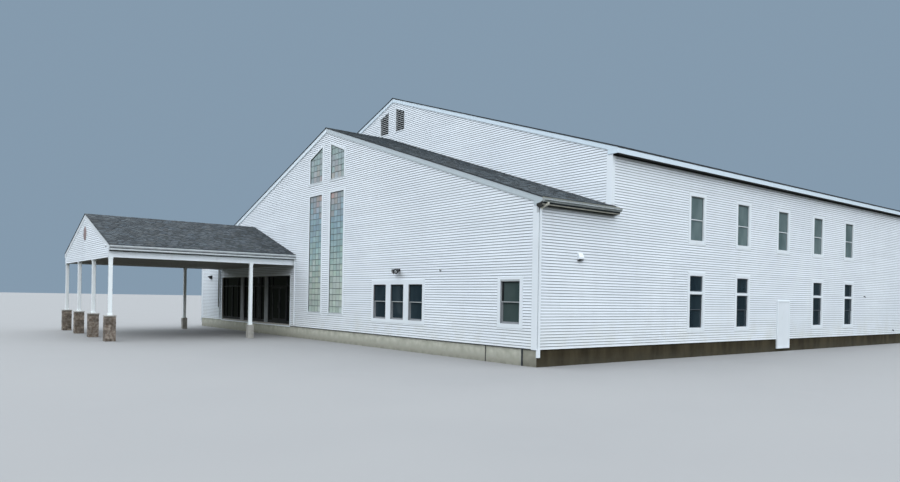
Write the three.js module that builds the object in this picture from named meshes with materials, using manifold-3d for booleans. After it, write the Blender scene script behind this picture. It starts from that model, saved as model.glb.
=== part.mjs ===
// A modern church building in white clapboard, as a 1:2 scale model.
// Every value below is full size, in millimetres; SCALE makes the model from it.
// X runs right along the entrance front, Y runs back and Z is up.
// X = 0 and Y = 0 are the outer faces of the front right corner, and Z = 0 is the lowest ground.

import * as THREE from "three";
import { mergeVertices } from "three/addons/utils/BufferGeometryUtils.js";
import Module from "manifold-3d";

const wasm = await Module();
wasm.setup();

const SCALE = 0.5;
const GAP = 0.8; // joint left between neighbouring pieces
const WALL = 200; // timber frame, sheathing, cladding and lining

// Heights
const SIDING_BOTTOM = 600;
const FLOOR_TOP = 680;
const FLOOR_BOTTOM = 450;
const UPPER_FLOOR = { bottom: 3750, top: 4000 };

// Main block and the lower, wider block in front of it
const MAIN = {
  left: -29700, right: 0, front: 3790, back: 33400,
  ridgeX: -14850, ridgeZ: 12970, slope: 0.33, depth: 335, overhang: 265,
};
const FRONT = {
  left: -33650, right: 0, front: 0, back: MAIN.front + WALL,
  ridgeX: -15150, ridgeZ: 10820, slope: 0.33, depth: 335, overhang: 210,
};

// Entrance portico
const PORTICO = {
  ridgeX: -24230, ridgeZ: 6400, slope: 1 / 3, halfWidth: 5640,
  eaveBottom: 4240, front: -9315, beamBottom: 3930, beamWidth: 170,
  columnRowY: -9230, sideColumnY: -2430, rightColumnX: -18750,
  panelInset: 30, panelThick: 100, ceilingRise: 60, ceilingThick: 40,
};
const COLUMN = { side: 165, plinth: 225, plinthHeight: 90 };
const FRONT_PIER = { side: 460, top: 1210 };
const SIDE_FOOTING = { side: 300, top: 700 };

// Boards along the roof edges
const RAKE = { thick: 50, front: 240, main: 210, foot: 195 };
const PORTICO_RAKE = { thick: 25, height: 220, foot: 90 };

// Gutters and downspouts
const GUTTER = { width: 120, height: 125, wall: 12, frontDrop: 30, porticoDrop: 80 };
const DOWNSPOUT = { depth: 50, width: 75, fromY: 30, bottom: 350, bend: 330, lip: 20 };

// Foundation
const FOUNDATION = { inset: 20, thick: 280 };

// Entrance: three bays of glazing between pilasters
const ENTRY = { left: -29570, right: -19120, top: 3390 };
const BAYS = [
  { name: "left", left: -29570, right: -26345 },
  { name: "middle", left: -25910, right: -22640 },
  { name: "right", left: -22250, right: -19120 },
];
const STOREFRONT = { faceY: 60, depth: 115, bar: 50, transomZ: 2840, sill: 150, glass: 12, paneSet: 40 };
const DOOR = {
  pairWidth: 1900, thick: 45, clearance: 10, stile: 95, bottomRail: 260, paneSet: 16,
  barrelRadius: 8, barrelLength: 60, leafPlate: 45, hingeHeights: [250, 1060, 1870],
};
const HANDLE = { radius: 13, length: 320, standOff: 55, centreZ: 1030, inset: 48 };

// Windows: places along the wall and heights
const CASING = { width: 100, proud: 25 };
const FRAME = { bar: 45, sheet: 12, paneDepth: 70 };
const FRONT_SINGLE = [{ from: -1840, to: -850, bottom: 1420, top: 2930 }];
const FRONT_TRIPLE = [
  { from: -10410, to: -9380, bottom: 1320, top: 2840 },
  { from: -9000, to: -8000, bottom: 1320, top: 2840 },
  { from: -7620, to: -6620, bottom: 1320, top: 2840 },
];
const SIDE_ROW = { firstY: 8870, pitch: 3650, width: 960, count: 5 };
const BACK_ROW = { firstX: -23560, pitch: 5486, width: 960, count: 4 };
const UPPER = { bottom: 4860, top: 6710, rail: 5740 };
const LOWER = { bottom: 1200, top: 3400, rail: 1980, transom: 2680 };
const TRANSOM_BAR = 115;
const TALL = { inner: 450, outer: 1800, bottom: 1450, top: 7470 };
const PEAK = { inner: 450, outer: 1800, bottom: 8150, innerTop: 9900, outerTop: 9410 };
const TALL_CENTRE_X = -15100;
const TALL_FRAME = { bar: 40, casing: 50 };
const SHEET_MARGIN = 60;

// Side door panel, louvred vents
const PANEL = { fromY: 16110, toY: 17310, bottom: 140, top: 2450, proud: 60 };
const VENT = {
  bottom: 11110, centreX: -14935, inner: 330, outer: 1180, underRoof: 525, frame: 60, proud: 20,
  pitch: 125, blade: 18, tilt: 70, bladeOut: 10, bladeIn: 110,
};

const colours = {
  siding: 0xdfe5ea, trim: 0xe9edf0, shingle: 0x43474c, concrete: 0x8f897d,
  bronze: 0x16181a, glass: 0x27313a, stained: 0x8fa3a5, louvre: 0x5f646a, gutter: 0xc9c7ba,
  soffit: 0x4a453f, floor: 0x9a958c,
};

function material(colour, roughness = 0.8, metalness = 0) {
  return new THREE.MeshStandardMaterial({ color: colour, roughness, metalness });
}

const looks = {
  siding: material(colours.siding, 0.6),
  trim: material(colours.trim, 0.5),
  shingle: material(colours.shingle, 0.95),
  concrete: material(colours.concrete, 0.95),
  bronze: material(colours.bronze, 0.35, 0.7),
  glass: material(colours.glass, 0.1),
  stained: material(colours.stained, 0.3),
  louvre: material(colours.louvre, 0.6, 0.3),
  gutter: material(colours.gutter, 0.5, 0.3),
  soffit: material(colours.soffit, 0.8),
  floor: material(colours.floor, 0.9),
};

// Solid helpers

function toSolid(geometry) {
  geometry.deleteAttribute("normal");
  geometry.deleteAttribute("uv");
  const merged = mergeVertices(geometry, 1e-3);
  const vertProperties = new Float32Array(merged.attributes.position.array);
  const triVerts = new Uint32Array(merged.index.array);
  return new wasm.Manifold(new wasm.Mesh({ numProp: 3, vertProperties, triVerts }));
}

function toGeometry(solid) {
  const mesh = solid.getMesh();
  const geometry = new THREE.BufferGeometry();
  geometry.setAttribute("position", new THREE.BufferAttribute(new Float32Array(mesh.vertProperties), 3));
  geometry.setIndex(new THREE.BufferAttribute(new Uint32Array(mesh.triVerts), 1));
  geometry.computeVertexNormals();
  return geometry;
}

// Puts every corner where place(a, b, t) says; t is 0 at the start of the shape and 1 at its end
function placed(geometry, place) {
  const position = geometry.attributes.position;
  for (let i = 0; i < position.count; i += 1) {
    position.setXYZ(i, ...place(position.getX(i), position.getY(i), position.getZ(i)));
  }
  return toSolid(geometry);
}

function box(x, y, z) {
  const pick = (range, at) => (at < 0 ? Math.min(...range) : Math.max(...range));
  return placed(new THREE.BoxGeometry(1, 1, 1), (a, b, c) => [pick(x, a), pick(y, b), pick(z, c)]);
}

function extrude(points) {
  const shape = new THREE.Shape(points.map(([a, b]) => new THREE.Vector2(a, b)));
  return new THREE.ExtrudeGeometry(shape, { depth: 1, bevelEnabled: false, steps: 1 });
}

// Outline in X and Z, running from y0 back to y1
function alongY(points, y0, y1) {
  return placed(extrude(points), (a, b, t) => [a, t < 0.5 ? y1 : y0, b]);
}

// Outline in Y and Z, running from x0 to x1
function alongX(points, x0, x1) {
  return placed(extrude(points), (a, b, t) => [t < 0.5 ? x0 : x1, a, b]);
}

// Outline in X and Y, running up from z0 to z1
function upright(points, z0, z1) {
  return placed(extrude(points), (a, b, t) => [a, b, t < 0.5 ? z0 : z1]);
}

function bar(radius, from, to, sides = 12) {
  const start = new THREE.Vector3(...from);
  const end = new THREE.Vector3(...to);
  const direction = end.clone().sub(start);
  const geometry = new THREE.CylinderGeometry(radius, radius, direction.length(), sides);
  const up = new THREE.Vector3(0, 1, 0);
  geometry.applyQuaternion(new THREE.Quaternion().setFromUnitVectors(up, direction.normalize()));
  geometry.translate(...start.add(end).multiplyScalar(0.5).toArray());
  return toSolid(geometry);
}

function union(solids) {
  return solids.reduce((joined, solid) => joined.add(solid));
}

function without(solid, holes) {
  return holes.reduce((rest, hole) => rest.subtract(hole), solid);
}

// Model tree

const building = new THREE.Group();

function add(name, solid, look) {
  const mesh = new THREE.Mesh(toGeometry(solid), look);
  mesh.name = name;
  building.add(mesh);
}

// Roof heights

function roofTop(roof, x) {
  return roof.ridgeZ - roof.slope * Math.abs(x - roof.ridgeX);
}

function roofUnder(roof, x) {
  return roofTop(roof, x) - roof.depth;
}

// Height of the level soffit: the underside of the roof at the right wall's outer face
function soffitZ(roof) {
  return roofUnder(roof, roof.right);
}

// Foundation and floors

// Plan of both blocks, drawn in from the walls' outer faces
function plan(inset) {
  const stepY = FRONT.back - inset;
  return [
    [FRONT.right - inset, FRONT.front + inset], [MAIN.right - inset, MAIN.back - inset],
    [MAIN.left + inset, MAIN.back - inset], [MAIN.left + inset, stepY],
    [FRONT.left + inset, stepY], [FRONT.left + inset, FRONT.front + inset],
  ];
}

function makeFoundation() {
  const outer = upright(plan(FOUNDATION.inset), 0, SIDING_BOTTOM);
  const inner = upright(plan(FOUNDATION.inset + FOUNDATION.thick), -100, SIDING_BOTTOM + 100);
  add("foundation", outer.subtract(inner), looks.concrete);
}

function makeFloors() {
  const slab = upright(plan(FOUNDATION.inset + FOUNDATION.thick + GAP), FLOOR_BOTTOM, FLOOR_TOP);
  const lip = upright(plan(WALL + GAP), SIDING_BOTTOM + GAP, FLOOR_TOP);
  const sillX = [ENTRY.left + GAP, ENTRY.right - GAP];
  const sill = box(sillX, [0, WALL + 2 * FOUNDATION.thick], [SIDING_BOTTOM + GAP, FLOOR_TOP]);
  add("ground_floor", union([slab, lip, sill]), looks.floor);
  const upperX = [MAIN.left + WALL + GAP, MAIN.right - WALL - GAP];
  const upperY = [FRONT.back + GAP, MAIN.back - WALL - GAP];
  add("upper_floor", box(upperX, upperY, [UPPER_FLOOR.bottom, UPPER_FLOOR.top]), looks.floor);
}

// Walls

// Outline from base up to the underside of a roof, between two places on X
function underRoof(roof, x0, x1, base) {
  const points = [[x0, base], [x1, base], [x1, roofUnder(roof, x1) - GAP]];
  if (x0 < roof.ridgeX && x1 > roof.ridgeX) {
    points.push([roof.ridgeX, roofUnder(roof, roof.ridgeX) - GAP]);
  }
  points.push([x0, roofUnder(roof, x0) - GAP]);
  return points;
}

function frontHoles(windows) {
  return windows.map((w) => box([w.from, w.to], [-100, WALL + 100], [w.bottom, w.top]));
}

function tallOutline(side, light, grow = 0) {
  const inner = TALL_CENTRE_X + side * (light.inner - grow);
  const outer = TALL_CENTRE_X + side * (light.outer + grow);
  const innerTop = (light.innerTop ?? light.top) + grow;
  const outerTop = (light.outerTop ?? light.top) + grow;
  const bottom = light.bottom - grow;
  const points = [[inner, bottom], [outer, bottom], [outer, outerTop], [inner, innerTop]];
  return side > 0 ? points : points.reverse();
}

function tallHoles() {
  const holes = [];
  for (const side of [-1, 1]) {
    for (const light of [TALL, PEAK]) {
      holes.push(alongY(tallOutline(side, light), -100, WALL + 100));
    }
  }
  return holes;
}

function makeFrontWalls() {
  const rightPlate = alongY(underRoof(FRONT, ENTRY.right + GAP, FRONT.right, SIDING_BOTTOM + GAP), 0, WALL);
  const holes = [...frontHoles(FRONT_SINGLE), ...frontHoles(FRONT_TRIPLE), ...tallHoles()];
  add("front_wall_right", without(rightPlate, holes), looks.siding);
  const header = underRoof(FRONT, ENTRY.left + GAP, ENTRY.right - GAP, ENTRY.top);
  add("front_wall_over_entry", alongY(header, 0, WALL), looks.siding);
  const leftPlate = underRoof(FRONT, FRONT.left, ENTRY.left - GAP, SIDING_BOTTOM + GAP);
  add("front_wall_left", alongY(leftPlate, 0, WALL), looks.siding);
  const pilasterZ = [FLOOR_TOP + GAP, ENTRY.top - GAP];
  add("entry_pilaster_left", box([BAYS[0].right, BAYS[1].left], [0, WALL], pilasterZ), looks.trim);
  add("entry_pilaster_right", box([BAYS[1].right, BAYS[2].left], [0, WALL], pilasterZ), looks.trim);
}

function rowWindows(row, storey) {
  const first = row.firstY ?? row.firstX;
  return Array.from({ length: row.count }, (_, i) => {
    const from = first + i * row.pitch;
    return { from, to: from + row.width, ...storey };
  });
}

// The side door panel takes the place of the middle lower window on the right
const rightLower = rowWindows(SIDE_ROW, LOWER).filter((w) => w.from > PANEL.toY || w.to < PANEL.fromY);
const rightUpper = rowWindows(SIDE_ROW, UPPER);
const leftLower = rowWindows(SIDE_ROW, LOWER);
const leftUpper = rowWindows(SIDE_ROW, UPPER);
const backLower = rowWindows(BACK_ROW, LOWER);
const backUpper = rowWindows(BACK_ROW, UPPER);

function sideHoles(windows, x) {
  return windows.map((w) => box([x - 300, x + 300], [w.from, w.to], [w.bottom, w.top]));
}

function makeFrontBlockWalls() {
  const base = SIDING_BOTTOM + GAP;
  const right = underRoof(FRONT, FRONT.right - WALL, FRONT.right, base);
  add("front_block_right_wall", alongY(right, WALL + GAP, FRONT.back), looks.siding);
  const left = underRoof(FRONT, FRONT.left, FRONT.left + WALL, base);
  add("front_block_left_wall", alongY(left, WALL + GAP, FRONT.back), looks.siding);
  const back = underRoof(FRONT, FRONT.left + WALL + GAP, MAIN.left + WALL, base);
  add("front_block_back_wall", alongY(back, MAIN.front, FRONT.back), looks.siding);
}

function makeMainWalls() {
  const base = SIDING_BOTTOM + GAP;
  const sideY = [FRONT.back + GAP, MAIN.back - WALL - GAP];
  const right = alongY(underRoof(MAIN, MAIN.right - WALL, MAIN.right, base), ...sideY);
  add("main_right_wall", without(right, sideHoles([...rightLower, ...rightUpper], MAIN.right)), looks.siding);
  const left = alongY(underRoof(MAIN, MAIN.left, MAIN.left + WALL, base), ...sideY);
  add("main_left_wall", without(left, sideHoles([...leftLower, ...leftUpper], MAIN.left)), looks.siding);
  const back = alongY(underRoof(MAIN, MAIN.left, MAIN.right, base), MAIN.back - WALL, MAIN.back);
  const backHoles = [...backLower, ...backUpper].map((w) =>
    box([w.from, w.to], [MAIN.back - 300, MAIN.back + 100], [w.bottom, w.top]));
  add("main_back_wall", without(back, backHoles), looks.siding);
}

// The main block's front gable stands on the front block's roof
function makeMainGable() {
  const bottom = [
    [MAIN.left, roofTop(FRONT, MAIN.left) + GAP], [FRONT.ridgeX, FRONT.ridgeZ + GAP],
    [MAIN.right, roofTop(FRONT, MAIN.right) + GAP],
  ];
  const top = [
    [MAIN.right, roofUnder(MAIN, MAIN.right) - GAP], [MAIN.ridgeX, roofUnder(MAIN, MAIN.ridgeX) - GAP],
    [MAIN.left, roofUnder(MAIN, MAIN.left) - GAP],
  ];
  const gable = alongY([...bottom, ...top], MAIN.front, FRONT.back);
  const holes = [-1, 1].map((side) => alongY(ventOutline(side, 0), MAIN.front - 100, FRONT.back + 100));
  add("main_front_gable", without(gable, holes), looks.siding);
}

// Roofs

// A roof half from the ridge to the eave, with its boxed eave
function roofHalf(roof, side) {
  const wallX = side > 0 ? roof.right : roof.left;
  const edgeX = wallX + side * roof.overhang;
  const ridgeX = roof.ridgeX + (side * GAP) / 2;
  const soffit = roofUnder(roof, wallX);
  const points = [
    [ridgeX, roofUnder(roof, ridgeX)], [wallX, soffit], [edgeX, soffit],
    [edgeX, roofTop(roof, edgeX)], [ridgeX, roofTop(roof, ridgeX)],
  ];
  return side > 0 ? points : points.reverse();
}

function makeRoofs() {
  add("front_roof_right", alongY(roofHalf(FRONT, 1), FRONT.front, FRONT.back), looks.shingle);
  add("front_roof_left", alongY(roofHalf(FRONT, -1), FRONT.front, FRONT.back), looks.shingle);
  add("main_roof_right", alongY(roofHalf(MAIN, 1), MAIN.front, MAIN.back), looks.shingle);
  add("main_roof_left", alongY(roofHalf(MAIN, -1), MAIN.front, MAIN.back), looks.shingle);
}

// Boards along a gable's slopes, with a level foot under each eave
function rakeOutline(roof, height, rightEdge, leftEdge, foot) {
  const topAt = (x) => roof.ridgeZ - roof.slope * Math.abs(x - roof.ridgeX);
  const half = (edgeX, side, bottomZ) => [
    [edgeX, topAt(edgeX)], [edgeX, bottomZ], [edgeX - side * foot, bottomZ],
    [edgeX - side * foot, topAt(edgeX - side * foot) - height],
  ];
  const right = half(rightEdge.x, 1, rightEdge.bottom);
  const left = half(leftEdge.x, -1, leftEdge.bottom);
  return [
    [roof.ridgeX, roof.ridgeZ], ...left, [roof.ridgeX, roof.ridgeZ - height], ...right.reverse(),
  ];
}

function makeRakes() {
  const blockRake = (roof, height) => rakeOutline(
    roof, height,
    { x: roof.right + roof.overhang, bottom: soffitZ(roof) - GAP },
    { x: roof.left - roof.overhang, bottom: roofUnder(roof, roof.left) - GAP },
    roof.overhang + RAKE.foot,
  );
  const front = alongY(blockRake(FRONT, RAKE.front), FRONT.front - RAKE.thick, FRONT.front - GAP);
  add("front_rake_boards", front, looks.trim);
  const mainFront = alongY(blockRake(MAIN, RAKE.main), MAIN.front - RAKE.thick, MAIN.front - GAP);
  add("main_front_rake_boards", mainFront, looks.trim);
  const mainBack = alongY(blockRake(MAIN, RAKE.main), MAIN.back + GAP, MAIN.back + RAKE.thick);
  add("main_back_rake_boards", mainBack, looks.trim);
}

// Open trough along an eave
function gutterSolid(edgeX, side, topZ, y0, y1) {
  const near = edgeX + side * GAP;
  const far = near + side * GUTTER.width;
  const bottomZ = topZ - GUTTER.height;
  const trough = box([near, far], [y0, y1], [bottomZ, topZ]);
  const hollow = box(
    [near + side * GUTTER.wall, far - side * GUTTER.wall],
    [y0 + GUTTER.wall, y1 - GUTTER.wall], [bottomZ + GUTTER.wall, topZ + 100]);
  return trough.subtract(hollow);
}

function makeFrontGutters() {
  for (const side of [1, -1]) {
    const wallX = side > 0 ? FRONT.right : FRONT.left;
    const edgeX = wallX + side * FRONT.overhang;
    const topZ = roofTop(FRONT, edgeX) - GUTTER.frontDrop;
    const gutter = gutterSolid(edgeX, side, topZ, FRONT.front - RAKE.thick, FRONT.back);
    const nearX = wallX + side * GAP;
    const farX = nearX + side * DOWNSPOUT.depth;
    const spoutY = [DOWNSPOUT.fromY, DOWNSPOUT.fromY + DOWNSPOUT.width];
    const gutterBottom = topZ - GUTTER.height;
    const soffit = roofUnder(FRONT, wallX);
    const bendZ = soffit - DOWNSPOUT.bend;
    const lipX = edgeX + side * DOWNSPOUT.lip;
    const elbow = [
      [nearX, bendZ - 1], [farX, bendZ - 1], [lipX + side * DOWNSPOUT.depth, soffit - 90],
      [lipX + side * DOWNSPOUT.depth, gutterBottom + 6], [lipX, gutterBottom + 6],
      [lipX, soffit - 40], [nearX, bendZ + 40],
    ];
    const outline = side > 0 ? elbow : elbow.reverse();
    const bend = alongY(outline, ...spoutY);
    const drop = box([nearX, farX], spoutY, [DOWNSPOUT.bottom, bendZ]);
    const name = side > 0 ? "front_right_gutter" : "front_left_gutter";
    add(name, union([gutter, bend, drop]), looks.gutter);
  }
}

// Portico

function porticoX(offset) {
  return PORTICO.ridgeX + offset;
}

function porticoTop(offset) {
  return PORTICO.ridgeZ - PORTICO.slope * Math.abs(offset);
}

// From the ridge out to the side columns, and to the side beams' outer and inner faces
const columnReach = PORTICO.rightColumnX - PORTICO.ridgeX;
const beamHalf = PORTICO.beamWidth / 2;
const beamReach = columnReach + beamHalf;
const beamInside = columnReach - beamHalf;
const columnStep = (2 * columnReach) / 3;
const slabDepth = porticoTop(beamInside) - PORTICO.eaveBottom;

function porticoRoofHalf(side) {
  const ridge = (side * GAP) / 2;
  const points = [
    [porticoX(ridge), porticoTop(ridge) - slabDepth], [porticoX(side * beamInside), PORTICO.eaveBottom],
    [porticoX(side * PORTICO.halfWidth), PORTICO.eaveBottom],
    [porticoX(side * PORTICO.halfWidth), porticoTop(PORTICO.halfWidth)], [porticoX(ridge), porticoTop(ridge)],
  ];
  return side > 0 ? points : points.reverse();
}

function makePorticoRoof() {
  add("portico_roof_right", alongY(porticoRoofHalf(1), PORTICO.front, -GAP), looks.shingle);
  add("portico_roof_left", alongY(porticoRoofHalf(-1), PORTICO.front, -GAP), looks.shingle);
  const base = PORTICO.eaveBottom;
  const gable = [
    [porticoX(PORTICO.panelInset - beamInside), base], [porticoX(beamInside - PORTICO.panelInset), base],
    [porticoX(0), PORTICO.ridgeZ - slabDepth - GAP],
  ];
  const panelY = [PORTICO.front, PORTICO.front + PORTICO.panelThick];
  add("portico_gable", alongY(gable, ...panelY), looks.siding);
  const edge = (side) => ({ x: porticoX(side * PORTICO.halfWidth), bottom: PORTICO.eaveBottom });
  const rakes = rakeOutline(PORTICO, PORTICO_RAKE.height, edge(1), edge(-1), PORTICO_RAKE.foot);
  const rakeY = [PORTICO.front - PORTICO_RAKE.thick, PORTICO.front - GAP];
  add("portico_rake_boards", alongY(rakes, ...rakeY), looks.trim);
}

function makePorticoBeams() {
  const beamZ = [PORTICO.beamBottom, PORTICO.eaveBottom - GAP];
  const frontY = [PORTICO.columnRowY - beamHalf, PORTICO.columnRowY + beamHalf];
  const fullX = [porticoX(-beamReach), porticoX(beamReach)];
  add("portico_beam_front", box(fullX, frontY, beamZ), looks.trim);
  const sideY = [frontY[1] + GAP, -GAP];
  add("portico_beam_right", box([porticoX(beamInside), porticoX(beamReach)], sideY, beamZ), looks.trim);
  add("portico_beam_left", box([porticoX(-beamReach), porticoX(-beamInside)], sideY, beamZ), looks.trim);
  const ceilingX = [porticoX(-beamInside) + GAP, porticoX(beamInside) - GAP];
  const ceilingLow = PORTICO.beamBottom + PORTICO.ceilingRise;
  const ceilingZ = [ceilingLow, ceilingLow + PORTICO.ceilingThick];
  add("portico_ceiling", box(ceilingX, sideY, ceilingZ), looks.soffit);
}

function column(x, y, pier) {
  const square = (size, z0, z1) => box([x - size / 2, x + size / 2], [y - size / 2, y + size / 2], [z0, z1]);
  const top = PORTICO.beamBottom - GAP;
  return union([
    square(COLUMN.side, pier.top, top),
    square(COLUMN.plinth, pier.top - 1, pier.top + COLUMN.plinthHeight),
    square(COLUMN.plinth, top - COLUMN.plinthHeight, top),
    square(pier.side, 0, pier.top),
  ]);
}

function makePorticoColumns() {
  for (let i = 0; i < 4; i += 1) {
    const x = PORTICO.rightColumnX - i * columnStep;
    add(`portico_front_column_${i + 1}`, column(x, PORTICO.columnRowY, FRONT_PIER), looks.trim);
  }
  for (const [name, i] of [["right", 0], ["left", 3]]) {
    const x = PORTICO.rightColumnX - i * columnStep;
    add(`portico_side_column_${name}`, column(x, PORTICO.sideColumnY, SIDE_FOOTING), looks.trim);
  }
}

function makePorticoGutters() {
  for (const side of [1, -1]) {
    const edgeX = porticoX(side * PORTICO.halfWidth);
    const topZ = porticoTop(PORTICO.halfWidth) - GUTTER.porticoDrop;
    const gutter = gutterSolid(edgeX, side, topZ, PORTICO.front - PORTICO_RAKE.thick, -GAP);
    const farX = edgeX + side * (GAP + GUTTER.width);
    const spoutX = [farX - side * DOWNSPOUT.width, farX];
    const spout = box(spoutX, [-GAP - DOWNSPOUT.depth, -GAP], [FLOOR_TOP, topZ - GUTTER.height + 6]);
    add(side > 0 ? "portico_right_gutter" : "portico_left_gutter", union([gutter, spout]), looks.trim);
  }
}

// Windows

// A place on a wall: along it, outward from its face, and height
const walls = {
  front: (u, w, z) => [u, [FRONT.front - w[1], FRONT.front - w[0]], z],
  right: (u, w, z) => [[MAIN.right + w[0], MAIN.right + w[1]], u, z],
  left: (u, w, z) => [[MAIN.left - w[1], MAIN.left - w[0]], u, z],
  back: (u, w, z) => [u, [MAIN.back + w[0], MAIN.back + w[1]], z],
};

// Frame, casing and rails of one window, set through the wall to the shared sheet of glass
function windowSolid(place, opening) {
  const through = [-WALL - GAP - FRAME.sheet / 2, CASING.proud];
  const face = [GAP, CASING.proud];
  const inside = {
    from: opening.from + GAP, to: opening.to - GAP, bottom: opening.bottom + GAP, top: opening.top - GAP,
  };
  const grown = (o, by) => [[o.from - by, o.to + by], [o.bottom - by, o.top + by]];
  const block = ([along, height], depth) => box(...place(along, depth, height));
  const clear = block(grown(inside, -FRAME.bar), [-2 * WALL, WALL]);
  const frame = block(grown(inside, 0), through).subtract(clear);
  const casing = block(grown(opening, CASING.width), face).subtract(clear);
  const barDepth = [-FRAME.paneDepth - 40, -FRAME.paneDepth + 10];
  const solids = [frame, casing];
  if (opening.rail) {
    const z = [opening.rail - FRAME.bar / 2, opening.rail + FRAME.bar / 2];
    solids.push(box(...place([inside.from, inside.to], barDepth, z)));
  }
  if (opening.transom) {
    const z = [opening.transom - TRANSOM_BAR / 2, opening.transom + TRANSOM_BAR / 2];
    solids.push(box(...place([inside.from, inside.to], [barDepth[0], CASING.proud], z)));
  }
  return solids;
}

// The sheet of glass that closes a row of windows on the inside
function sheetSolid(place, openings) {
  const reach = (low, high) => [
    Math.min(...openings.map((o) => o[low])) - SHEET_MARGIN,
    Math.max(...openings.map((o) => o[high])) + SHEET_MARGIN,
  ];
  const along = reach("from", "to");
  const height = reach("bottom", "top");
  return box(...place(along, [-WALL - GAP - FRAME.sheet, -WALL - GAP], height));
}

function addWindowRow(name, place, openings) {
  const frames = openings.flatMap((opening) => windowSolid(place, opening));
  add(name, union([sheetSolid(place, openings), ...frames]), looks.glass);
}

function makeWindows() {
  const withRail = (o) => ({ ...o, rail: (o.bottom + o.top) / 2 });
  addWindowRow("front_single_window", walls.front, FRONT_SINGLE.map(withRail));
  addWindowRow("front_triple_window", walls.front, FRONT_TRIPLE.map(withRail));
  addWindowRow("right_lower_windows", walls.right, rightLower);
  addWindowRow("right_upper_windows", walls.right, rightUpper);
  addWindowRow("left_lower_windows", walls.left, leftLower);
  addWindowRow("left_upper_windows", walls.left, leftUpper);
  addWindowRow("back_lower_windows", walls.back, backLower);
  addWindowRow("back_upper_windows", walls.back, backUpper);
}

// Four tall lights of stained glass, joined by one sheet inside the wall
function makeStainedGlass() {
  const solids = [];
  for (const side of [-1, 1]) {
    for (const light of [TALL, PEAK]) {
      const frame = alongY(tallOutline(side, light, -GAP), -CASING.proud, WALL + GAP + 1);
      const clear = alongY(tallOutline(side, light, -GAP - TALL_FRAME.bar), -100, WALL + 100);
      const casing = alongY(tallOutline(side, light, TALL_FRAME.casing), -CASING.proud, -GAP);
      const opening = alongY(tallOutline(side, light, -GAP - 1), -100, 100);
      solids.push(frame.subtract(clear), casing.subtract(opening));
    }
  }
  const reach = TALL.outer + SHEET_MARGIN;
  const sheetTop = PEAK.outerTop + SHEET_MARGIN;
  const sheet = [
    [TALL_CENTRE_X - reach, TALL.bottom - SHEET_MARGIN], [TALL_CENTRE_X + reach, TALL.bottom - SHEET_MARGIN],
    [TALL_CENTRE_X + reach, sheetTop], [TALL_CENTRE_X, PEAK.innerTop + 3 * SHEET_MARGIN],
    [TALL_CENTRE_X - reach, sheetTop],
  ];
  solids.push(alongY(sheet, WALL + GAP, WALL + GAP + FRAME.sheet));
  add("stained_glass_windows", union(solids), looks.stained);
}

// Louvred vents beside the ridge of the main gable

function ventOutline(side, grow) {
  const from = VENT.centreX + side * (VENT.outer + grow);
  const to = VENT.centreX + side * (VENT.inner - grow);
  const topAt = (x) => roofTop(MAIN, x) - VENT.underRoof + grow;
  const points = [
    [from, VENT.bottom - grow], [to, VENT.bottom - grow], [to, topAt(to)], [from, topAt(from)],
  ];
  return side < 0 ? points : points.reverse();
}

function makeVents() {
  for (const [name, side] of [["gable_vent_left", -1], ["gable_vent_right", 1]]) {
    const face = MAIN.front;
    const body = alongY(ventOutline(side, -GAP), face - VENT.proud, face + WALL);
    const clear = alongY(ventOutline(side, -VENT.frame), face - WALL, face + 0.7 * WALL);
    const within = alongY(ventOutline(side, -VENT.frame / 2), face - WALL, face + WALL);
    const solids = [body.subtract(clear)];
    const outY = face - VENT.bladeOut;
    const inY = face + VENT.bladeIn;
    const top = MAIN.ridgeZ - VENT.underRoof;
    for (let z = VENT.bottom + VENT.pitch; z < top; z += VENT.pitch) {
      const section = [
        [outY, z - VENT.tilt], [inY, z], [inY, z + VENT.blade], [outY, z - VENT.tilt + VENT.blade],
      ];
      const blade = alongX(section, VENT.centreX - VENT.outer, VENT.centreX + VENT.outer);
      solids.push(blade.intersect(within));
    }
    add(name, union(solids), looks.louvre);
  }
}

// Entrance glazing

// Frame bars and glass of one bay; the right bay leaves the doorway open
function makeStorefront(bay) {
  const y = [STOREFRONT.faceY, STOREFRONT.faceY + STOREFRONT.depth];
  const pane = [y[0] + STOREFRONT.paneSet, y[0] + STOREFRONT.paneSet + STOREFRONT.glass];
  const left = bay.left + GAP;
  const right = bay.right - GAP;
  const bottom = FLOOR_TOP + GAP;
  const top = ENTRY.top - GAP;
  const { bar: width, transomZ, sill } = STOREFRONT;
  const middle = (left + right) / 2;
  const half = DOOR.pairWidth / 2;
  const doorLeft = middle - half;
  const doorRight = middle + half;
  const post = (x) => box([x, x + width], y, [bottom, top]);
  const solids = [
    post(left), post(right - width), post(doorLeft - width), post(doorRight),
    box([left, right], y, [top - width, top]),
    box([left, right], y, [transomZ - width, transomZ]),
    box([left, doorLeft], y, [bottom, bottom + sill]),
    box([doorRight, right], y, [bottom, bottom + sill]),
    box([left, doorLeft], pane, [bottom, top]),
    box([doorRight, right], pane, [bottom, top]),
    box([left, right], pane, [transomZ - 1, top]),
  ];
  if (bay.name === "right") {
    solids.push(...jambHinges());
  } else {
    solids.push(
      box([doorLeft, doorRight], y, [bottom, bottom + sill]),
      box([middle - width, middle + width], y, [bottom, transomZ]),
      box([doorLeft, doorRight], pane, [bottom, transomZ]),
    );
  }
  add(`storefront_${bay.name}`, union(solids), looks.bronze);
}

const doorBay = BAYS.find((bay) => bay.name === "right");
const doorMiddle = (doorBay.left + doorBay.right) / 2;
const doorHalf = DOOR.pairWidth / 2;
const leafBottom = FLOOR_TOP + DOOR.clearance;
const leafTop = STOREFRONT.transomZ - STOREFRONT.bar - DOOR.clearance;

// The hinge line stands just in front of the gap between the leaf and its jamb
function hingeAxis(side) {
  return {
    x: doorMiddle + side * (doorHalf - DOOR.clearance / 2),
    y: STOREFRONT.faceY - DOOR.barrelRadius - 1,
  };
}

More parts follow.
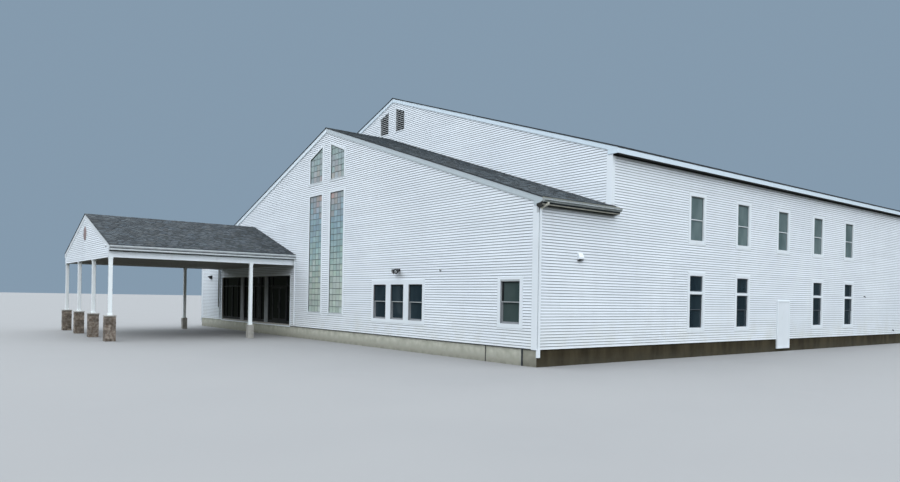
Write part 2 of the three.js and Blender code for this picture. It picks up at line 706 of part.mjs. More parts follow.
// One knuckle of a hinge with its plate on the frame's or the leaf's front face
function knuckle(axis, z0, z1, plateDirection) {
  const plateFar = axis.x + plateDirection * DOOR.leafPlate;
  return [
    bar(DOOR.barrelRadius, [axis.x, axis.y, z0], [axis.x, axis.y, z1]),
    box([axis.x, plateFar], [STOREFRONT.faceY - 6, STOREFRONT.faceY - 2], [z0, z1]),
    box(
      [plateFar - plateDirection * 30, plateFar], [STOREFRONT.faceY - 6, STOREFRONT.faceY + 2], [z0, z1]),
  ];
}

// Lower knuckles belong to the jambs, and the leaves' knuckles rest on them
function jambHinges() {
  return [-1, 1].flatMap((side) => DOOR.hingeHeights.flatMap((height) => {
    const z = leafBottom + height;
    return knuckle(hingeAxis(side), z - DOOR.barrelLength, z - GAP, side);
  }));
}

function makeLeaf(name, side) {
  const y = [STOREFRONT.faceY, STOREFRONT.faceY + DOOR.thick];
  const hingeEdge = doorMiddle + side * (doorHalf - DOOR.clearance);
  const meetingEdge = doorMiddle + (side * DOOR.clearance) / 2;
  const x = [Math.min(hingeEdge, meetingEdge), Math.max(hingeEdge, meetingEdge)];
  const pane = [y[0] + DOOR.paneSet, y[0] + DOOR.paneSet + STOREFRONT.glass];
  const solids = [
    box([x[0], x[0] + DOOR.stile], y, [leafBottom, leafTop]),
    box([x[1] - DOOR.stile, x[1]], y, [leafBottom, leafTop]),
    box(x, y, [leafBottom, leafBottom + DOOR.bottomRail]),
    box(x, y, [leafTop - DOOR.stile, leafTop]),
    box(x, pane, [leafBottom, leafTop]),
  ];
  for (const height of DOOR.hingeHeights) {
    const z = leafBottom + height;
    solids.push(...knuckle(hingeAxis(side), z, z + DOOR.barrelLength, -side));
  }
  const handleX = meetingEdge + side * HANDLE.inset;
  const handleY = y[0] - HANDLE.standOff;
  const z0 = FLOOR_TOP + HANDLE.centreZ - HANDLE.length / 2;
  const z1 = z0 + HANDLE.length;
  solids.push(bar(HANDLE.radius, [handleX, handleY, z0], [handleX, handleY, z1]));
  for (const z of [z0 + 30, z1 - 30]) {
    solids.push(bar(HANDLE.radius * 0.8, [handleX, handleY, z], [handleX, y[0] + 5, z]));
  }
  add(name, union(solids), looks.bronze);
}

// Plain boxed door panel on the right side, down to the ground
function makeSidePanel() {
  const x = [MAIN.right + GAP, MAIN.right + PANEL.proud];
  add("side_door_panel", box(x, [PANEL.fromY, PANEL.toY], [PANEL.bottom, PANEL.top]), looks.trim);
}

makeFoundation();
makeFloors();
makeFrontWalls();
makeFrontBlockWalls();
makeMainWalls();
makeMainGable();
makeRoofs();
makeRakes();
makeFrontGutters();
makePorticoRoof();
makePorticoBeams();
makePorticoColumns();
makePorticoGutters();
makeWindows();
makeStainedGlass();
makeVents();
BAYS.forEach(makeStorefront);
makeLeaf("door_leaf_left", -1);
makeLeaf("door_leaf_right", 1);
makeSidePanel();

// The model's origin is the middle of its footprint, at the lowest ground
const bounds = new THREE.Box3().setFromObject(building);
const centre = bounds.getCenter(new THREE.Vector3());
building.position.set(-centre.x, -centre.y, -bounds.min.z);

const model = new THREE.Group();
model.scale.setScalar(SCALE);
model.add(building);

export default model;
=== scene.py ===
# Looks of a white clapboard church building, dressed round its packed half-size model.
# Lengths are full-size metres from the front right corner, as in the part's source:
# X runs right along the front, Y runs back, and Z runs up from the lowest ground.

import math

import bmesh
import bpy
import numpy as np
from mathutils import Matrix, Vector


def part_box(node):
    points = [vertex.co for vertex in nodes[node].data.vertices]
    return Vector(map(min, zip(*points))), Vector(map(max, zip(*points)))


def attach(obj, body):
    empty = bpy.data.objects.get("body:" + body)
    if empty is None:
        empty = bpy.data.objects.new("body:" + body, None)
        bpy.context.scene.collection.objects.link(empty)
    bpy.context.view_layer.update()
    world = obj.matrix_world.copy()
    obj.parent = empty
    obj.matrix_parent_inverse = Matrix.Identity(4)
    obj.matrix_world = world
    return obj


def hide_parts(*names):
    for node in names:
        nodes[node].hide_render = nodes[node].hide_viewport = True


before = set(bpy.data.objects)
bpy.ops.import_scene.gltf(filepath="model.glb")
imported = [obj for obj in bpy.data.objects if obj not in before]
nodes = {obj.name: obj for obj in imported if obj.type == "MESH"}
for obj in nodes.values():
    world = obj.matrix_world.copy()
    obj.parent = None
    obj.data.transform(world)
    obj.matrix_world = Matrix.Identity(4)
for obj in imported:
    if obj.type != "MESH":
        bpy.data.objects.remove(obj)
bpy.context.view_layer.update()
rng = np.random.default_rng(11)

SCALE = 0.5
CORNER = Vector((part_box("front_wall_right")[1].x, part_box("front_wall_right")[0].y, 0.0))

# The right and left side of a roof or wall, as a sign along X and a word
SIDES = ((1, "right"), (-1, "left"))
SOFT_EDGE = 0.003

# Clapboard: each course leans out to a lip at its foot, over the groove of the one below, whose dark tone is
# painted shadow under the lip
COURSE = 0.1016
LIP = 0.020
NECK = 0.006
GROOVE = {"height": 0.024, "depth": 0.002, "tone": 0.42}
SIDING_BOTTOM = 0.6
PANEL_LENGTH = 3.66
PANEL_LIFTS = 24
SEAM_MARGIN = 0.05
LEAST_STRETCH = 0.01
LEAST_END = 0.002
LEAST_RISE = 0.003
FLASHING = 0.02
PAST_EDGE = 1.0
# The portico gable's courses are painted lighter than the other walls as painted light, and their grooves'
# painted shadow is lighter too
PORTICO_PAINTED_LIGHT = {"shade": 1.09, "groove_shade": 0.8}

# Trim
POST = {"front": 0.25, "side": 0.13, "proud": 0.025}
CHANNEL = {"height": 0.035, "proud": 0.026}
CASING = {"width": 0.155, "proud": 0.025}
TALL_CASING = 0.12
RAKE = {"front": 0.24, "main": 0.21, "portico": 0.22}
RAKE_THICK = {"front": 0.05, "main": 0.05, "portico": 0.025}
RAKE_CAP = {"front": 0.034, "main": 0.034, "portico": 0.02}
CORNER_JOINT = {"x": -0.70, "half": 0.035}
THIN_JOINT = {"x": -2.62, "half": 0.01}

# Roofs and gutters
SLOPE = 0.33
PORTICO_SLOPE = 1 / 3
EXPOSURE = 0.143
SHINGLE_OVERHANG = 0.025
FASCIA = 0.012
GUTTER_HEIGHT = {"front": 0.125, "portico": 0.16}
GUTTER_DROP = {"front": 0.06, "portico": 0.035}
DRIP = {"main": 0.052, "portico": 0.035}

# Windows
SASH_STILE = 0.036
RAIL = 0.030
LINING = 0.012
UPPER_SASH = -0.03
WINDOW_BACK = -0.14


def full_box(node):
    """Lowest and highest corner of a node in full-size metres"""
    low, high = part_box(node)
    return (low - CORNER) / SCALE, (high - CORNER) / SCALE


class Roof:
    """A gabled roof: its ridge, its eaves' edges and its level soffits"""

    def __init__(self, right_node, left_node, slope):
        right_low, right_high = full_box(right_node)
        left_low, left_high = full_box(left_node)
        self.slope = slope
        self.ridge_x = (right_low.x + left_high.x) / 2
        self.ridge_z = right_high.z
        self.edge = {1: right_high.x, -1: left_low.x}
        self.soffit = {1: right_low.z, -1: left_low.z}
        self.front, self.back = right_low.y, right_high.y

    def top(self, x):
        return self.ridge_z - self.slope * abs(x - self.ridge_x)


MAIN = Roof("main_roof_right", "main_roof_left", SLOPE)
FRONT = Roof("front_roof_right", "front_roof_left", SLOPE)
PORTICO = Roof("portico_roof_right", "portico_roof_left", PORTICO_SLOPE)

FRONT_LEFT = full_box("front_wall_left")[0].x
MAIN_LEFT = full_box("main_left_wall")[0].x
MAIN_FRONT = full_box("main_front_gable")[0].y
BLOCK_BACK = full_box("front_block_back_wall")[1].y
MAIN_BACK = full_box("main_back_wall")[1].y
ENTRY_LEFT = full_box("storefront_left")[0].x
ENTRY_RIGHT = full_box("storefront_right")[1].x
ENTRY_TOP = full_box("front_wall_over_entry")[0].z
FLOOR_TOP = full_box("ground_floor")[1].z
BEAM_LOW, BEAM_HIGH = full_box("portico_beam_front")

# Outer faces along X of the front block, the main block and the portico's beams, by side
FRONT_SIDE = {1: 0.0, -1: FRONT_LEFT}
MAIN_SIDE = {1: 0.0, -1: MAIN_LEFT}
BEAM_SIDE = {1: BEAM_HIGH.x, -1: BEAM_LOW.x}


class Wall:
    """A wall's outer face: u runs along it, w out of it and z up"""

    def __init__(self, face, along, outward):
        self.face = face
        self.along = along
        self.outward = outward

    def at(self, u, w, z):
        out = self.face + self.outward * w
        return (u, out, z) if self.along == "x" else (out, u, z)


FRONT_WALL = Wall(0.0, "x", -1)
RIGHT_WALL = Wall(0.0, "y", 1)
GABLE_WALL = Wall(MAIN_FRONT, "x", -1)
MAIN_LEFT_WALL = Wall(MAIN_LEFT, "y", -1)
FRONT_LEFT_WALL = Wall(FRONT_LEFT, "y", -1)
BLOCK_BACK_WALL = Wall(BLOCK_BACK, "x", 1)
BACK_WALL = Wall(MAIN_BACK, "x", 1)
PORTICO_WALL = Wall(BEAM_LOW.y, "x", -1)

# Each gable's wall, roof, left and right edge, and the name of its rake
GABLES = [
    (FRONT_WALL, FRONT, FRONT_LEFT, 0.0, "front"),
    (GABLE_WALL, MAIN, MAIN_LEFT, 0.0, "main"),
    (BACK_WALL, MAIN, MAIN_LEFT, 0.0, "main"),
    (PORTICO_WALL, PORTICO, BEAM_LOW.x, BEAM_HIGH.x, "portico"),
]


# Finishes


class Finish:
    """A node material, built up from noise, ramps and mixes in the part's own space"""

    def __init__(self, name, roughness, metallic=0.0, specular=0.5):
        self.material = bpy.data.materials.new(name)
        self.material.use_nodes = True
        self.tree = self.material.node_tree
        self.shader = self.tree.nodes["Principled BSDF"]
        self.shader.inputs["Roughness"].default_value = roughness
        self.shader.inputs["Metallic"].default_value = metallic
        self.shader.inputs["Specular IOR Level"].default_value = specular
        self.space = self.tree.nodes.new("ShaderNodeTexCoord").outputs["Object"]

    def add(self, kind, inputs, **settings):
        node = self.tree.nodes.new("ShaderNode" + kind)
        for key, value in settings.items():
            setattr(node, key, value)
        for key, value in inputs.items():
            if isinstance(value, bpy.types.NodeSocket):
                self.tree.links.new(value, node.inputs[key])
            else:
                node.inputs[key].default_value = value
        return node

    def noise(self, scale, stretch=(1.0, 1.0, 1.0), detail=3.0):
        place = self.add("Mapping", {"Vector": self.space, "Scale": stretch}).outputs[0]
        return self.add("TexNoise", {"Vector": place, "Scale": scale, "Detail": detail}).outputs["Fac"]

    def spread(self, value, low, high, to_low=0.0, to_high=1.0):
        inputs = {"Value": value, 1: low, 2: high, 3: to_low, 4: to_high}
        return self.add("MapRange", inputs).outputs[0]

    def multiply(self, a, b):
        return self.add("Math", {0: a, 1: b}, operation="MULTIPLY").outputs[0]

    def mix(self, factor, a, b, blend="MIX"):
        full = [value if isinstance(value, bpy.types.NodeSocket) else (*value, 1.0) for value in (a, b)]
        node = self.add("Mix", {0: factor, 6: full[0], 7: full[1]}, data_type="RGBA", blend_type=blend)
        return node.outputs[2]

    def place(self, axis):
        """A point's place along one axis, in the model's metres"""
        return self.add("SeparateXYZ", {0: self.space}).outputs[axis]

    def tone(self):
        return self.add("Attribute", {}, attribute_name="tone").outputs["Color"]

    def colour(self, socket):
        self.tree.links.new(socket, self.shader.inputs["Base Color"])

    def rough(self, socket):
        self.tree.links.new(socket, self.shader.inputs["Roughness"])

    def bump(self, height, distance, strength=0.5):
        node = self.add("Bump", {"Height": height, "Distance": distance, "Strength": strength})
        self.tree.links.new(node.outputs[0], self.shader.inputs["Normal"])
        return self.material


def vinyl_finish():
    """White vinyl clapboard with a fine grain along the boards, rain streaks and a soiled foot"""
    f = Finish("vinyl_siding", 0.42, specular=0.4)
    base = f.mix(f.spread(f.noise(0.7), 0.35, 0.65), (0.79, 0.84, 0.885), (0.75, 0.80, 0.85))
    streaks = f.spread(f.noise(5.0, (1, 1, 0.12), 4.0), 0.5, 0.8, 0.0, 0.35)
    base = f.mix(streaks, base, (0.68, 0.72, 0.75))
    low = f.spread(f.place("Z"), 0.95, 0.3)
    foot = f.multiply(low, f.spread(f.noise(3.0, detail=5.0), 0.35, 0.75, 0.0, 0.6))
    base = f.mix(foot, base, (0.66, 0.67, 0.62))
    f.colour(f.mix(1.0, base, f.tone(), "MULTIPLY"))
    return f.bump(f.noise(14.0, (1.0, 1.0, 45.0), 2.0), 0.0015, 0.35)


def trim_finish():
    """Smooth white cladding, faintly mottled and soiled"""
    f = Finish("white_trim", 0.38, specular=0.45)
    base = f.mix(f.spread(f.noise(1.6), 0.35, 0.7), (0.80, 0.85, 0.89), (0.76, 0.81, 0.85))
    marks = f.spread(f.noise(9.0, (1, 1, 0.3), 5.0), 0.62, 0.85, 0.0, 0.5)
    f.colour(f.mix(marks, base, (0.58, 0.58, 0.55)))
    return f.bump(f.noise(60.0, detail=2.0), 0.0008, 0.2)


def shingle_finish():
    """Charcoal mineral shingles: each tab has its own tone, with granules and pale weathering"""
    f = Finish("charcoal_shingles", 0.93, specular=0.25)
    granules = f.noise(700.0, detail=2.0)
    base = f.mix(f.spread(granules, 0.35, 0.65), (0.030, 0.038, 0.045), (0.086, 0.098, 0.104))
    base = f.mix(f.spread(f.noise(2.2, detail=5.0), 0.45, 0.8, 0.0, 0.4), base, (0.080, 0.088, 0.090))
    f.colour(f.mix(1.0, base, f.tone(), "MULTIPLY"))
    return f.bump(granules, 0.002, 0.6)


def concrete_finish():
    """Beige-grey concrete, dark brown on faces that look along X, and darker right of the corner joint"""
    f = Finish("foundation_concrete", 0.92, specular=0.25)
    mottle = f.noise(6.0, detail=6.0)
    pale = f.mix(f.spread(mottle, 0.35, 0.65), (0.39, 0.39, 0.325), (0.53, 0.53, 0.455))
    side_streaks = f.spread(f.noise(4.0, (1, 1, 0.25), 6.0), 0.35, 0.7)
    dark = f.mix(side_streaks, (0.036, 0.028, 0.013), (0.092, 0.075, 0.042))
    normal = f.add("NewGeometry", {}).outputs["Normal"]
    facing = f.add("SeparateXYZ", {0: normal}).outputs["X"]
    side = f.add("Math", {0: facing}, operation="ABSOLUTE").outputs[0]
    base = f.mix(f.spread(side, 0.4, 0.6), pale, dark)
    foot = f.multiply(f.spread(f.place("Z"), 0.2, 0.0), f.spread(mottle, 0.3, 0.6, 0.2, 0.7))
    base = f.mix(foot, base, (0.10, 0.095, 0.07))
    joint = CORNER.x + CORNER_JOINT["x"] * SCALE
    corner = f.spread(f.place("X"), joint - 0.01, joint)
    f.colour(f.mix(corner, base, (0.66, 0.65, 0.63), "MULTIPLY"))
    return f.bump(f.noise(45.0, detail=6.0), 0.004, 0.5)


def front_rake_shaded_finish():
    """Blue-white cladding, greyed on the right slope as painted shade"""
    f = Finish("front_rake_white_and_shade", 0.4)
    mottle = f.spread(f.noise(12.0, detail=5.0), 0.35, 0.65)
    white = f.mix(mottle, (0.74, 0.83, 0.89), (0.78, 0.87, 0.93))
    # The right slope's grey is painted shade
    grey = f.mix(mottle, (0.475, 0.54, 0.575), (0.505, 0.57, 0.605))
    ridge = CORNER.x + FRONT.ridge_x * SCALE
    f.colour(f.mix(f.spread(f.place("X"), ridge - 0.02, ridge + 0.02), white, grey))
    return f.bump(f.noise(96.0, detail=3.0), 0.001, 0.3)


def stone_finish():
    """Brown and grey masonry of the portico's piers"""
    f = Finish("pier_stone", 0.9, specular=0.25)
    base = f.mix(f.spread(f.noise(18.0, detail=6.0), 0.35, 0.65), (0.13, 0.10, 0.078), (0.27, 0.235, 0.20))
    f.colour(f.mix(1.0, base, f.tone(), "MULTIPLY"))
    return f.bump(f.noise(70.0, detail=5.0), 0.004, 0.6)


def glass_finish(name, colour, second, roughness=0.06, specular=0.4):
    """Dark window glass, a little uneven"""
    f = Finish(name, roughness, specular=specular)
    f.colour(f.mix(f.spread(f.noise(2.5, (1, 1, 0.5), 3.0), 0.35, 0.65), colour, second))
    return f.bump(f.noise(3.0, detail=1.0), 0.002, 0.12)


def stained_finish():
    """Pale leaded glass: each pane has its own colour, with seeds and swirls"""
    f = Finish("stained_glass", 0.22, specular=0.5)
    swirl = f.spread(f.noise(14.0, (1, 1, 0.4), 6.0), 0.3, 0.7, 0.9, 1.08)
    grey = f.add("CombineColor", {0: swirl, 1: swirl, 2: swirl}).outputs[0]
    f.colour(f.mix(1.0, f.tone(), grey, "MULTIPLY"))
    return f.bump(f.noise(40.0, detail=3.0), 0.002, 0.35)


def plain_finish(name, colour, second, roughness, metallic=0.0, scale=12.0, grain=0.001):
    """Paint, metal, board or screed with a soft mottle and a fine surface"""
    f = Finish(name, roughness, metallic)
    mottle = f.noise(scale, detail=5.0)
    f.colour(f.mix(f.spread(mottle, 0.35, 0.65), colour, second))
    f.rough(f.spread(mottle, 0.3, 0.7, roughness * 0.85, min(1.0, roughness * 1.2)))
    return f.bump(f.noise(scale * 8, detail=3.0), grain, 0.3)


finishes = {
    "vinyl": vinyl_finish(),
    "trim": trim_finish(),
    "shingle": shingle_finish(),
    "concrete": concrete_finish(),
    "stone": stone_finish(),
    "glass": glass_finish("window_glass", (0.012, 0.023, 0.032), (0.024, 0.040, 0.050)),
    "screened": glass_finish("screened_glass", (0.040, 0.064, 0.062), (0.058, 0.082, 0.080), 0.2),
    "curtained": glass_finish("curtained_glass", (0.09, 0.135, 0.14), (0.16, 0.215, 0.22), 0.12),
    "storefront_glass": glass_finish("storefront_glass", (0.002, 0.0035, 0.003), (0.005, 0.007, 0.006),
                                     specular=0.12),
    "stained": stained_finish(),
    "came": plain_finish("lead_came", (0.09, 0.115, 0.115), (0.15, 0.175, 0.175), 0.6, 0.3),
    "bronze": plain_finish("dark_anodised_and_shadow", (0.012, 0.013, 0.016), (0.022, 0.023, 0.026), 0.35, 0.6),
    "sash": plain_finish("sash_grey_and_shade", (0.21, 0.225, 0.24), (0.26, 0.275, 0.29), 0.5),
    "grey_sash": plain_finish("grey_sash_and_corner_shadow", (0.09, 0.12, 0.125), (0.13, 0.16, 0.165), 0.5),
    "pale_rail": plain_finish("pale_rail_and_head_shade", (0.36, 0.39, 0.40), (0.44, 0.47, 0.48), 0.5),
    "dark_rail": plain_finish("dark_meeting_rail", (0.035, 0.048, 0.062), (0.055, 0.068, 0.082), 0.5),
    # The main rakes and main eave fascias: white cladding given a greyer blue as painted shade
    "rake": plain_finish("rake_cladding", (0.65, 0.76, 0.84), (0.69, 0.80, 0.88), 0.4),
    "front_rake": front_rake_shaded_finish(),
    "post": plain_finish("post_paint", (0.86, 0.91, 0.93), (0.89, 0.94, 0.955), 0.38),
    "beige": plain_finish("beige_cladding", (0.76, 0.75, 0.66), (0.84, 0.83, 0.74), 0.5),
    # The front eaves' beige fascias, darkened as painted shade under their gutters
    "shaded_fascia": plain_finish("beige_fascia_painted_shade", (0.29, 0.29, 0.245), (0.39, 0.39, 0.33), 0.6),
    "coping": plain_finish("grey_coping", (0.30, 0.29, 0.265), (0.40, 0.39, 0.36), 0.85, grain=0.003),
    # The entry's pilasters: grey, made darker still as painted shade for the deep shade under the portico
    "pilaster": plain_finish("pilaster_grey_and_shade", (0.22, 0.235, 0.245), (0.27, 0.285, 0.295), 0.55),
    "gutter": plain_finish("grey_gutter", (0.24, 0.27, 0.27), (0.34, 0.37, 0.37), 0.5, 0.1),
    # The portico's white gutters, given a grey as painted shade
    "portico_gutter": plain_finish("portico_gutter", (0.52, 0.56, 0.58), (0.60, 0.64, 0.66), 0.45),
    "soffit": plain_finish("shaded_soffit", (0.012, 0.013, 0.011), (0.022, 0.022, 0.019), 0.8),
    "ceiling": plain_finish("ceiling_board", (0.205, 0.205, 0.200), (0.31, 0.305, 0.295), 0.75),
    "louvre": plain_finish("louvre_paint", (0.40, 0.425, 0.435), (0.465, 0.49, 0.50), 0.55),
    "post_shade": plain_finish("post_shade", (0.45, 0.48, 0.505), (0.48, 0.515, 0.54), 0.4),
    "shadow": plain_finish("painted_shade_black", (0.006, 0.007, 0.008), (0.012, 0.013, 0.014), 0.95),
    "drip": plain_finish("dark_drip_edge_and_shadow", (0.025, 0.030, 0.036), (0.045, 0.052, 0.060), 0.55, 0.3),
    "fixture": plain_finish("dark_fixture", (0.018, 0.020, 0.022), (0.035, 0.036, 0.038), 0.4, 0.4),
    "lens": plain_finish("lamp_lens", (0.32, 0.34, 0.35), (0.45, 0.47, 0.48), 0.15),
    "plaque": plain_finish("plaque_paint", (0.24, 0.17, 0.165), (0.32, 0.25, 0.245), 0.6),
    "plaster": plain_finish("inside_plaster", (0.55, 0.54, 0.51), (0.63, 0.62, 0.59), 0.85),
    "screed": plain_finish("floor_screed", (0.30, 0.285, 0.26), (0.38, 0.36, 0.33), 0.6),
}


# Meshes


class Shape:
    """Closed solids that make up one piece, each with a tone of its own"""

    def __init__(self):
        self.points = []
        self.faces = []
        self.tones = []

    def loft(self, rings, tone=1.0):
        """A closed solid through rings that have equally many points"""
        base = len(self.points)
        count = len(rings[0])
        before = len(self.faces)
        for ring in rings:
            self.points.extend(ring)
        for level in range(len(rings) - 1):
            low = base + level * count
            for i in range(count):
                j = (i + 1) % count
                self.faces.append((low + i, low + j, low + count + j, low + count + i))
        last = base + (len(rings) - 1) * count
        self.faces.append(tuple(range(base + count - 1, base - 1, -1)))
        self.faces.append(tuple(range(last, last + count)))
        self.tones.extend([tone] * (len(self.faces) - before))

    def block(self, x, y, z, tone=1.0):
        """A box between pairs of X, Y and Z"""
        ring = [(x[0], y[0]), (x[1], y[0]), (x[1], y[1]), (x[0], y[1])]
        self.loft([[(a, b, height) for a, b in ring] for height in z], tone)

    def slab(self, wall, outline, w0, w1, tone=1.0):
        """An outline of (u, z) on a wall, from w0 out to w1"""
        self.loft([[wall.at(u, w, z) for u, z in outline] for w in (w0, w1)], tone)

    def surround(self, wall, outer, inner, w0, w1):
        """Mitred boards between two outlines with equally many corners"""
        count = len(outer)
        for i in range(count):
            j = (i + 1) % count
            self.slab(wall, [outer[i], outer[j], inner[j], inner[i]], w0, w1)

    def rod(self, start, end, radius, end_radius=None, sides=12):
        """A round bar or cone between two points"""
        start, end = Vector(start), Vector(end)
        turn = (end - start).to_track_quat("Z", "Y")
        angles = [2 * math.pi * k / sides for k in range(sides)]
        rings = []
        for centre, r in ((start, radius), (end, radius if end_radius is None else end_radius)):
            circle = [Vector((r * math.cos(a), r * math.sin(a), 0)) for a in angles]
            rings.append([tuple(centre + turn @ point) for point in circle])
        self.loft(rings)


def face_outwards(mesh):
    edit = bmesh.new()
    edit.from_mesh(mesh)
    bmesh.ops.recalc_face_normals(edit, faces=edit.faces)
    edit.to_mesh(mesh)
    edit.free()


def add_tones(mesh, tones):
    """Keeps each face's tone, a grey or a colour, where the finishes read it"""
    colours = []
    for tone, polygon in zip(tones, mesh.polygons):
        shade = (*tone, 1.0) if isinstance(tone, tuple) else (tone, tone, tone, 1.0)
        colours.extend(shade * polygon.loop_total)
    layer = mesh.attributes.new("tone", "FLOAT_COLOR", "CORNER")
    layer.data.foreach_set("color", colours)


def piece(name, shape, finish, body="building", replaces=(), bevel=0.0):
    """Makes a Blender object of a shape, in the model's size, and sets it on its body"""
    mesh = bpy.data.meshes.new(name)
    points = np.array(shape.points, float) * SCALE + np.array(CORNER)
    mesh.from_pydata(points.tolist(), [], shape.faces)
    face_outwards(mesh)
    add_tones(mesh, shape.tones)
    mesh.materials.append(finishes[finish])
    thing = bpy.data.objects.new(name, mesh)
    bpy.context.scene.collection.objects.link(thing)
    if bevel:
        edges = thing.modifiers.new("soft_edges", "BEVEL")
        edges.width = bevel * SCALE
        edges.segments = 2
        edges.limit_method = "ANGLE"
    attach(thing, body)
    if replaces:
        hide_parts(*replaces)


def trim_piece(name, shape, replaces=()):
    """White trim with softened edges"""
    piece(name, shape, "trim", replaces=replaces, bevel=SOFT_EDGE)


def rectangle(u0, u1, z0, z1):
    return [(u0, z0), (u1, z0), (u1, z1), (u0, z1)]


def grown(outline, by):
    """A rectangle or slanted-top outline pushed out on every side, or in where by is negative"""
    (u0, z0), (u1, _), (_, z1), (_, z2) = outline
    side = math.copysign(1, u1 - u0)
    rise = (z1 - z2) / (u1 - u0) * by * side
    return [(u0 - side * by, z0 - by), (u1 + side * by, z0 - by), (u1 + side * by, z1 + by + rise),
            (u0 - side * by, z2 + by - rise)]


# Clapboard siding


def span(outline, z):
    """Where a convex outline begins and ends along the wall at one height"""
    hits = []
    for (u0, z0), (u1, z1) in zip(outline, outline[1:] + outline[:1]):
        if (z0 - z) * (z1 - z) < 0:
            hits.append(u0 + (u1 - u0) * (z - z0) / (z1 - z0))
    return (min(hits), max(hits)) if hits else None


def cut_out(part, gap):
    """What is left of a stretch, given at two heights, once a gap is taken out of it"""
    left, right = (sum(row[k] for row in part) / 2 for k in (0, 1))
    gap_left, gap_right = (sum(row[k] for row in gap) / 2 for k in (0, 1))
    if gap_right <= left or gap_left >= right:
        return [part]
    rest = []
    if gap_left > left + LEAST_STRETCH:
        rest.append([(row[0], max(row[0] + LEAST_END, hole[0])) for row, hole in zip(part, gap)])
    if gap_right < right - LEAST_STRETCH:
        rest.append([(min(row[1] - LEAST_END, hole[1]), row[1]) for row, hole in zip(part, gap)])
    return rest


def free_stretches(outline, holes, low, high):
    """Stretches of a wall between two heights that no hole takes"""
    edge = 1e-6
    whole = [span(outline, low + edge), span(outline, high - edge)]
    if None in whole:
        return []
    parts = [[(a, max(b, a + LEAST_END)) for a, b in whole]]
    for hole in holes:
        gap = [span(hole, low + edge), span(hole, high - edge)]
        if None not in gap:
            parts = [rest for part in parts for rest in cut_out(part, gap)]
    return parts


def split_at_seams(part, offset):
    """Cuts a stretch into panels, each with its place in the row"""
    index = math.floor((min(part[0][0], part[1][0]) - offset) / PANEL_LENGTH)
    while True:
        seam = offset + (index + 1) * PANEL_LENGTH
        if seam > min(part[0][1], part[1][1]) - SEAM_MARGIN:
            yield part, index
            return
        if seam > max(part[0][0], part[1][0]) + SEAM_MARGIN:
            yield [(row[0], seam) for row in part], index
            part = [(seam, row[1]) for row in part]
        index += 1


def board(shape, wall, panel, heights, outs, tone):
    """One piece of a course, between two heights that each stand out by their own amount"""
    rings = []
    for z, (u0, u1), w in zip(heights, panel, outs):
        rings.append([wall.at(u0, 0, z), wall.at(u1, 0, z), wall.at(u1, w, z), wall.at(u0, w, z)])
    shape.loft(rings, tone)


def clapboard(shape, wall, outline, holes=(), base=SIDING_BOTTOM, shade=1.0, groove_shade=GROOVE["tone"]):
    """Courses of clapboard over an outline of (u, z), round the holes"""
    top = max(z for _, z in outline)
    corners = [z for o in (outline, *holes) for _, z in o]
    face = COURSE - GROOVE["height"]
    for i in range(math.ceil((top - base) / COURSE)):
        z0 = base + i * COURSE
        neck, z1 = z0 + face, z0 + COURSE
        if i % 2 == 0:
            offset = rng.random() * PANEL_LENGTH
            lifts = rng.random(PANEL_LIFTS)
        inside = [z for z in corners if z0 + LEAST_RISE < z < z1 - LEAST_RISE]
        breaks = [z for z in inside if abs(z - neck) > LEAST_RISE]
        levels = sorted({z0, neck, z1, *breaks})
        for low, high in zip(levels, levels[1:]):
            for part in free_stretches(outline, holes, low, high):
                for panel, index in split_at_seams(part, offset):
                    lift = lifts[index % PANEL_LIFTS]
                    lip = LIP + 0.002 * lift
                    if low > neck - 1e-6:
                        # The groove's dark tone is painted shadow under the lip above
                        outs, tone = [GROOVE["depth"]] * 2, groove_shade
                    else:
                        outs = [lip - (lip - NECK) * (z - z0) / face for z in (low, high)]
                        tone = 0.97 + 0.05 * lift
                    # A shade other than 1 lightens a wall's courses as painted light
                    board(shape, wall, panel, (low, high), outs, tone * shade)


# Windows as the frame holds them, and what the siding leaves free round them


def opening_row(first, pitch, width, count):
    return [(first + i * pitch, first + i * pitch + width) for i in range(count)]


FRONT_SINGLE = [rectangle(-1.84, -0.85, 1.42, 2.93)]
FRONT_TRIPLE = [rectangle(a, b, 1.32, 2.84) for a, b in ((-10.41, -9.38), (-9.0, -8.0), (-7.62, -6.62))]
SIDE_ROW = opening_row(8.87, 3.65, 0.96, 5)
BACK_ROW = opening_row(-23.56, 5.486, 0.96, 4)
UPPER = (4.86, 6.71)
LOWER = (1.2, 3.4)
UPPER_RAIL = 5.74
LOWER_RAIL = 1.98
TRANSOM = 2.68
TRANSOM_BAR = 0.115
PANEL_LOW, PANEL_HIGH = full_box("side_door_panel")
TALL_CENTRE = -15.1
TALL = {"inner": 0.45, "outer": 1.8, "low": 1.45, "inner_top": 7.47, "outer_top": 7.47}
PEAK = {"inner": 0.45, "outer": 1.8, "low": 8.15, "inner_top": 9.9, "outer_top": 9.41}


def storey(row, heights):
    return [rectangle(a, b, *heights) for a, b in row]


def tall_outline(side, light):
    inner, outer = (TALL_CENTRE + side * light[key] for key in ("inner", "outer"))
    low = light["low"]
    return [(inner, low), (outer, low), (outer, light["outer_top"]), (inner, light["inner_top"])]


tall_lights = [tall_outline(side, light) for side in (-1, 1) for light in (TALL, PEAK)]
right_lower = [w for w in storey(SIDE_ROW, LOWER) if w[0][0] > PANEL_HIGH.y or w[1][0] < PANEL_LOW.y]

VENT = {"centre": -14.935, "inner": 0.33, "outer": 1.18, "low": 11.11, "drop": 0.525}
VENT_CASING = 0.03
VENT_PITCH = 0.1064
PLAQUE = {"half_width": 0.33, "half_height": 0.37, "z": 5.36}


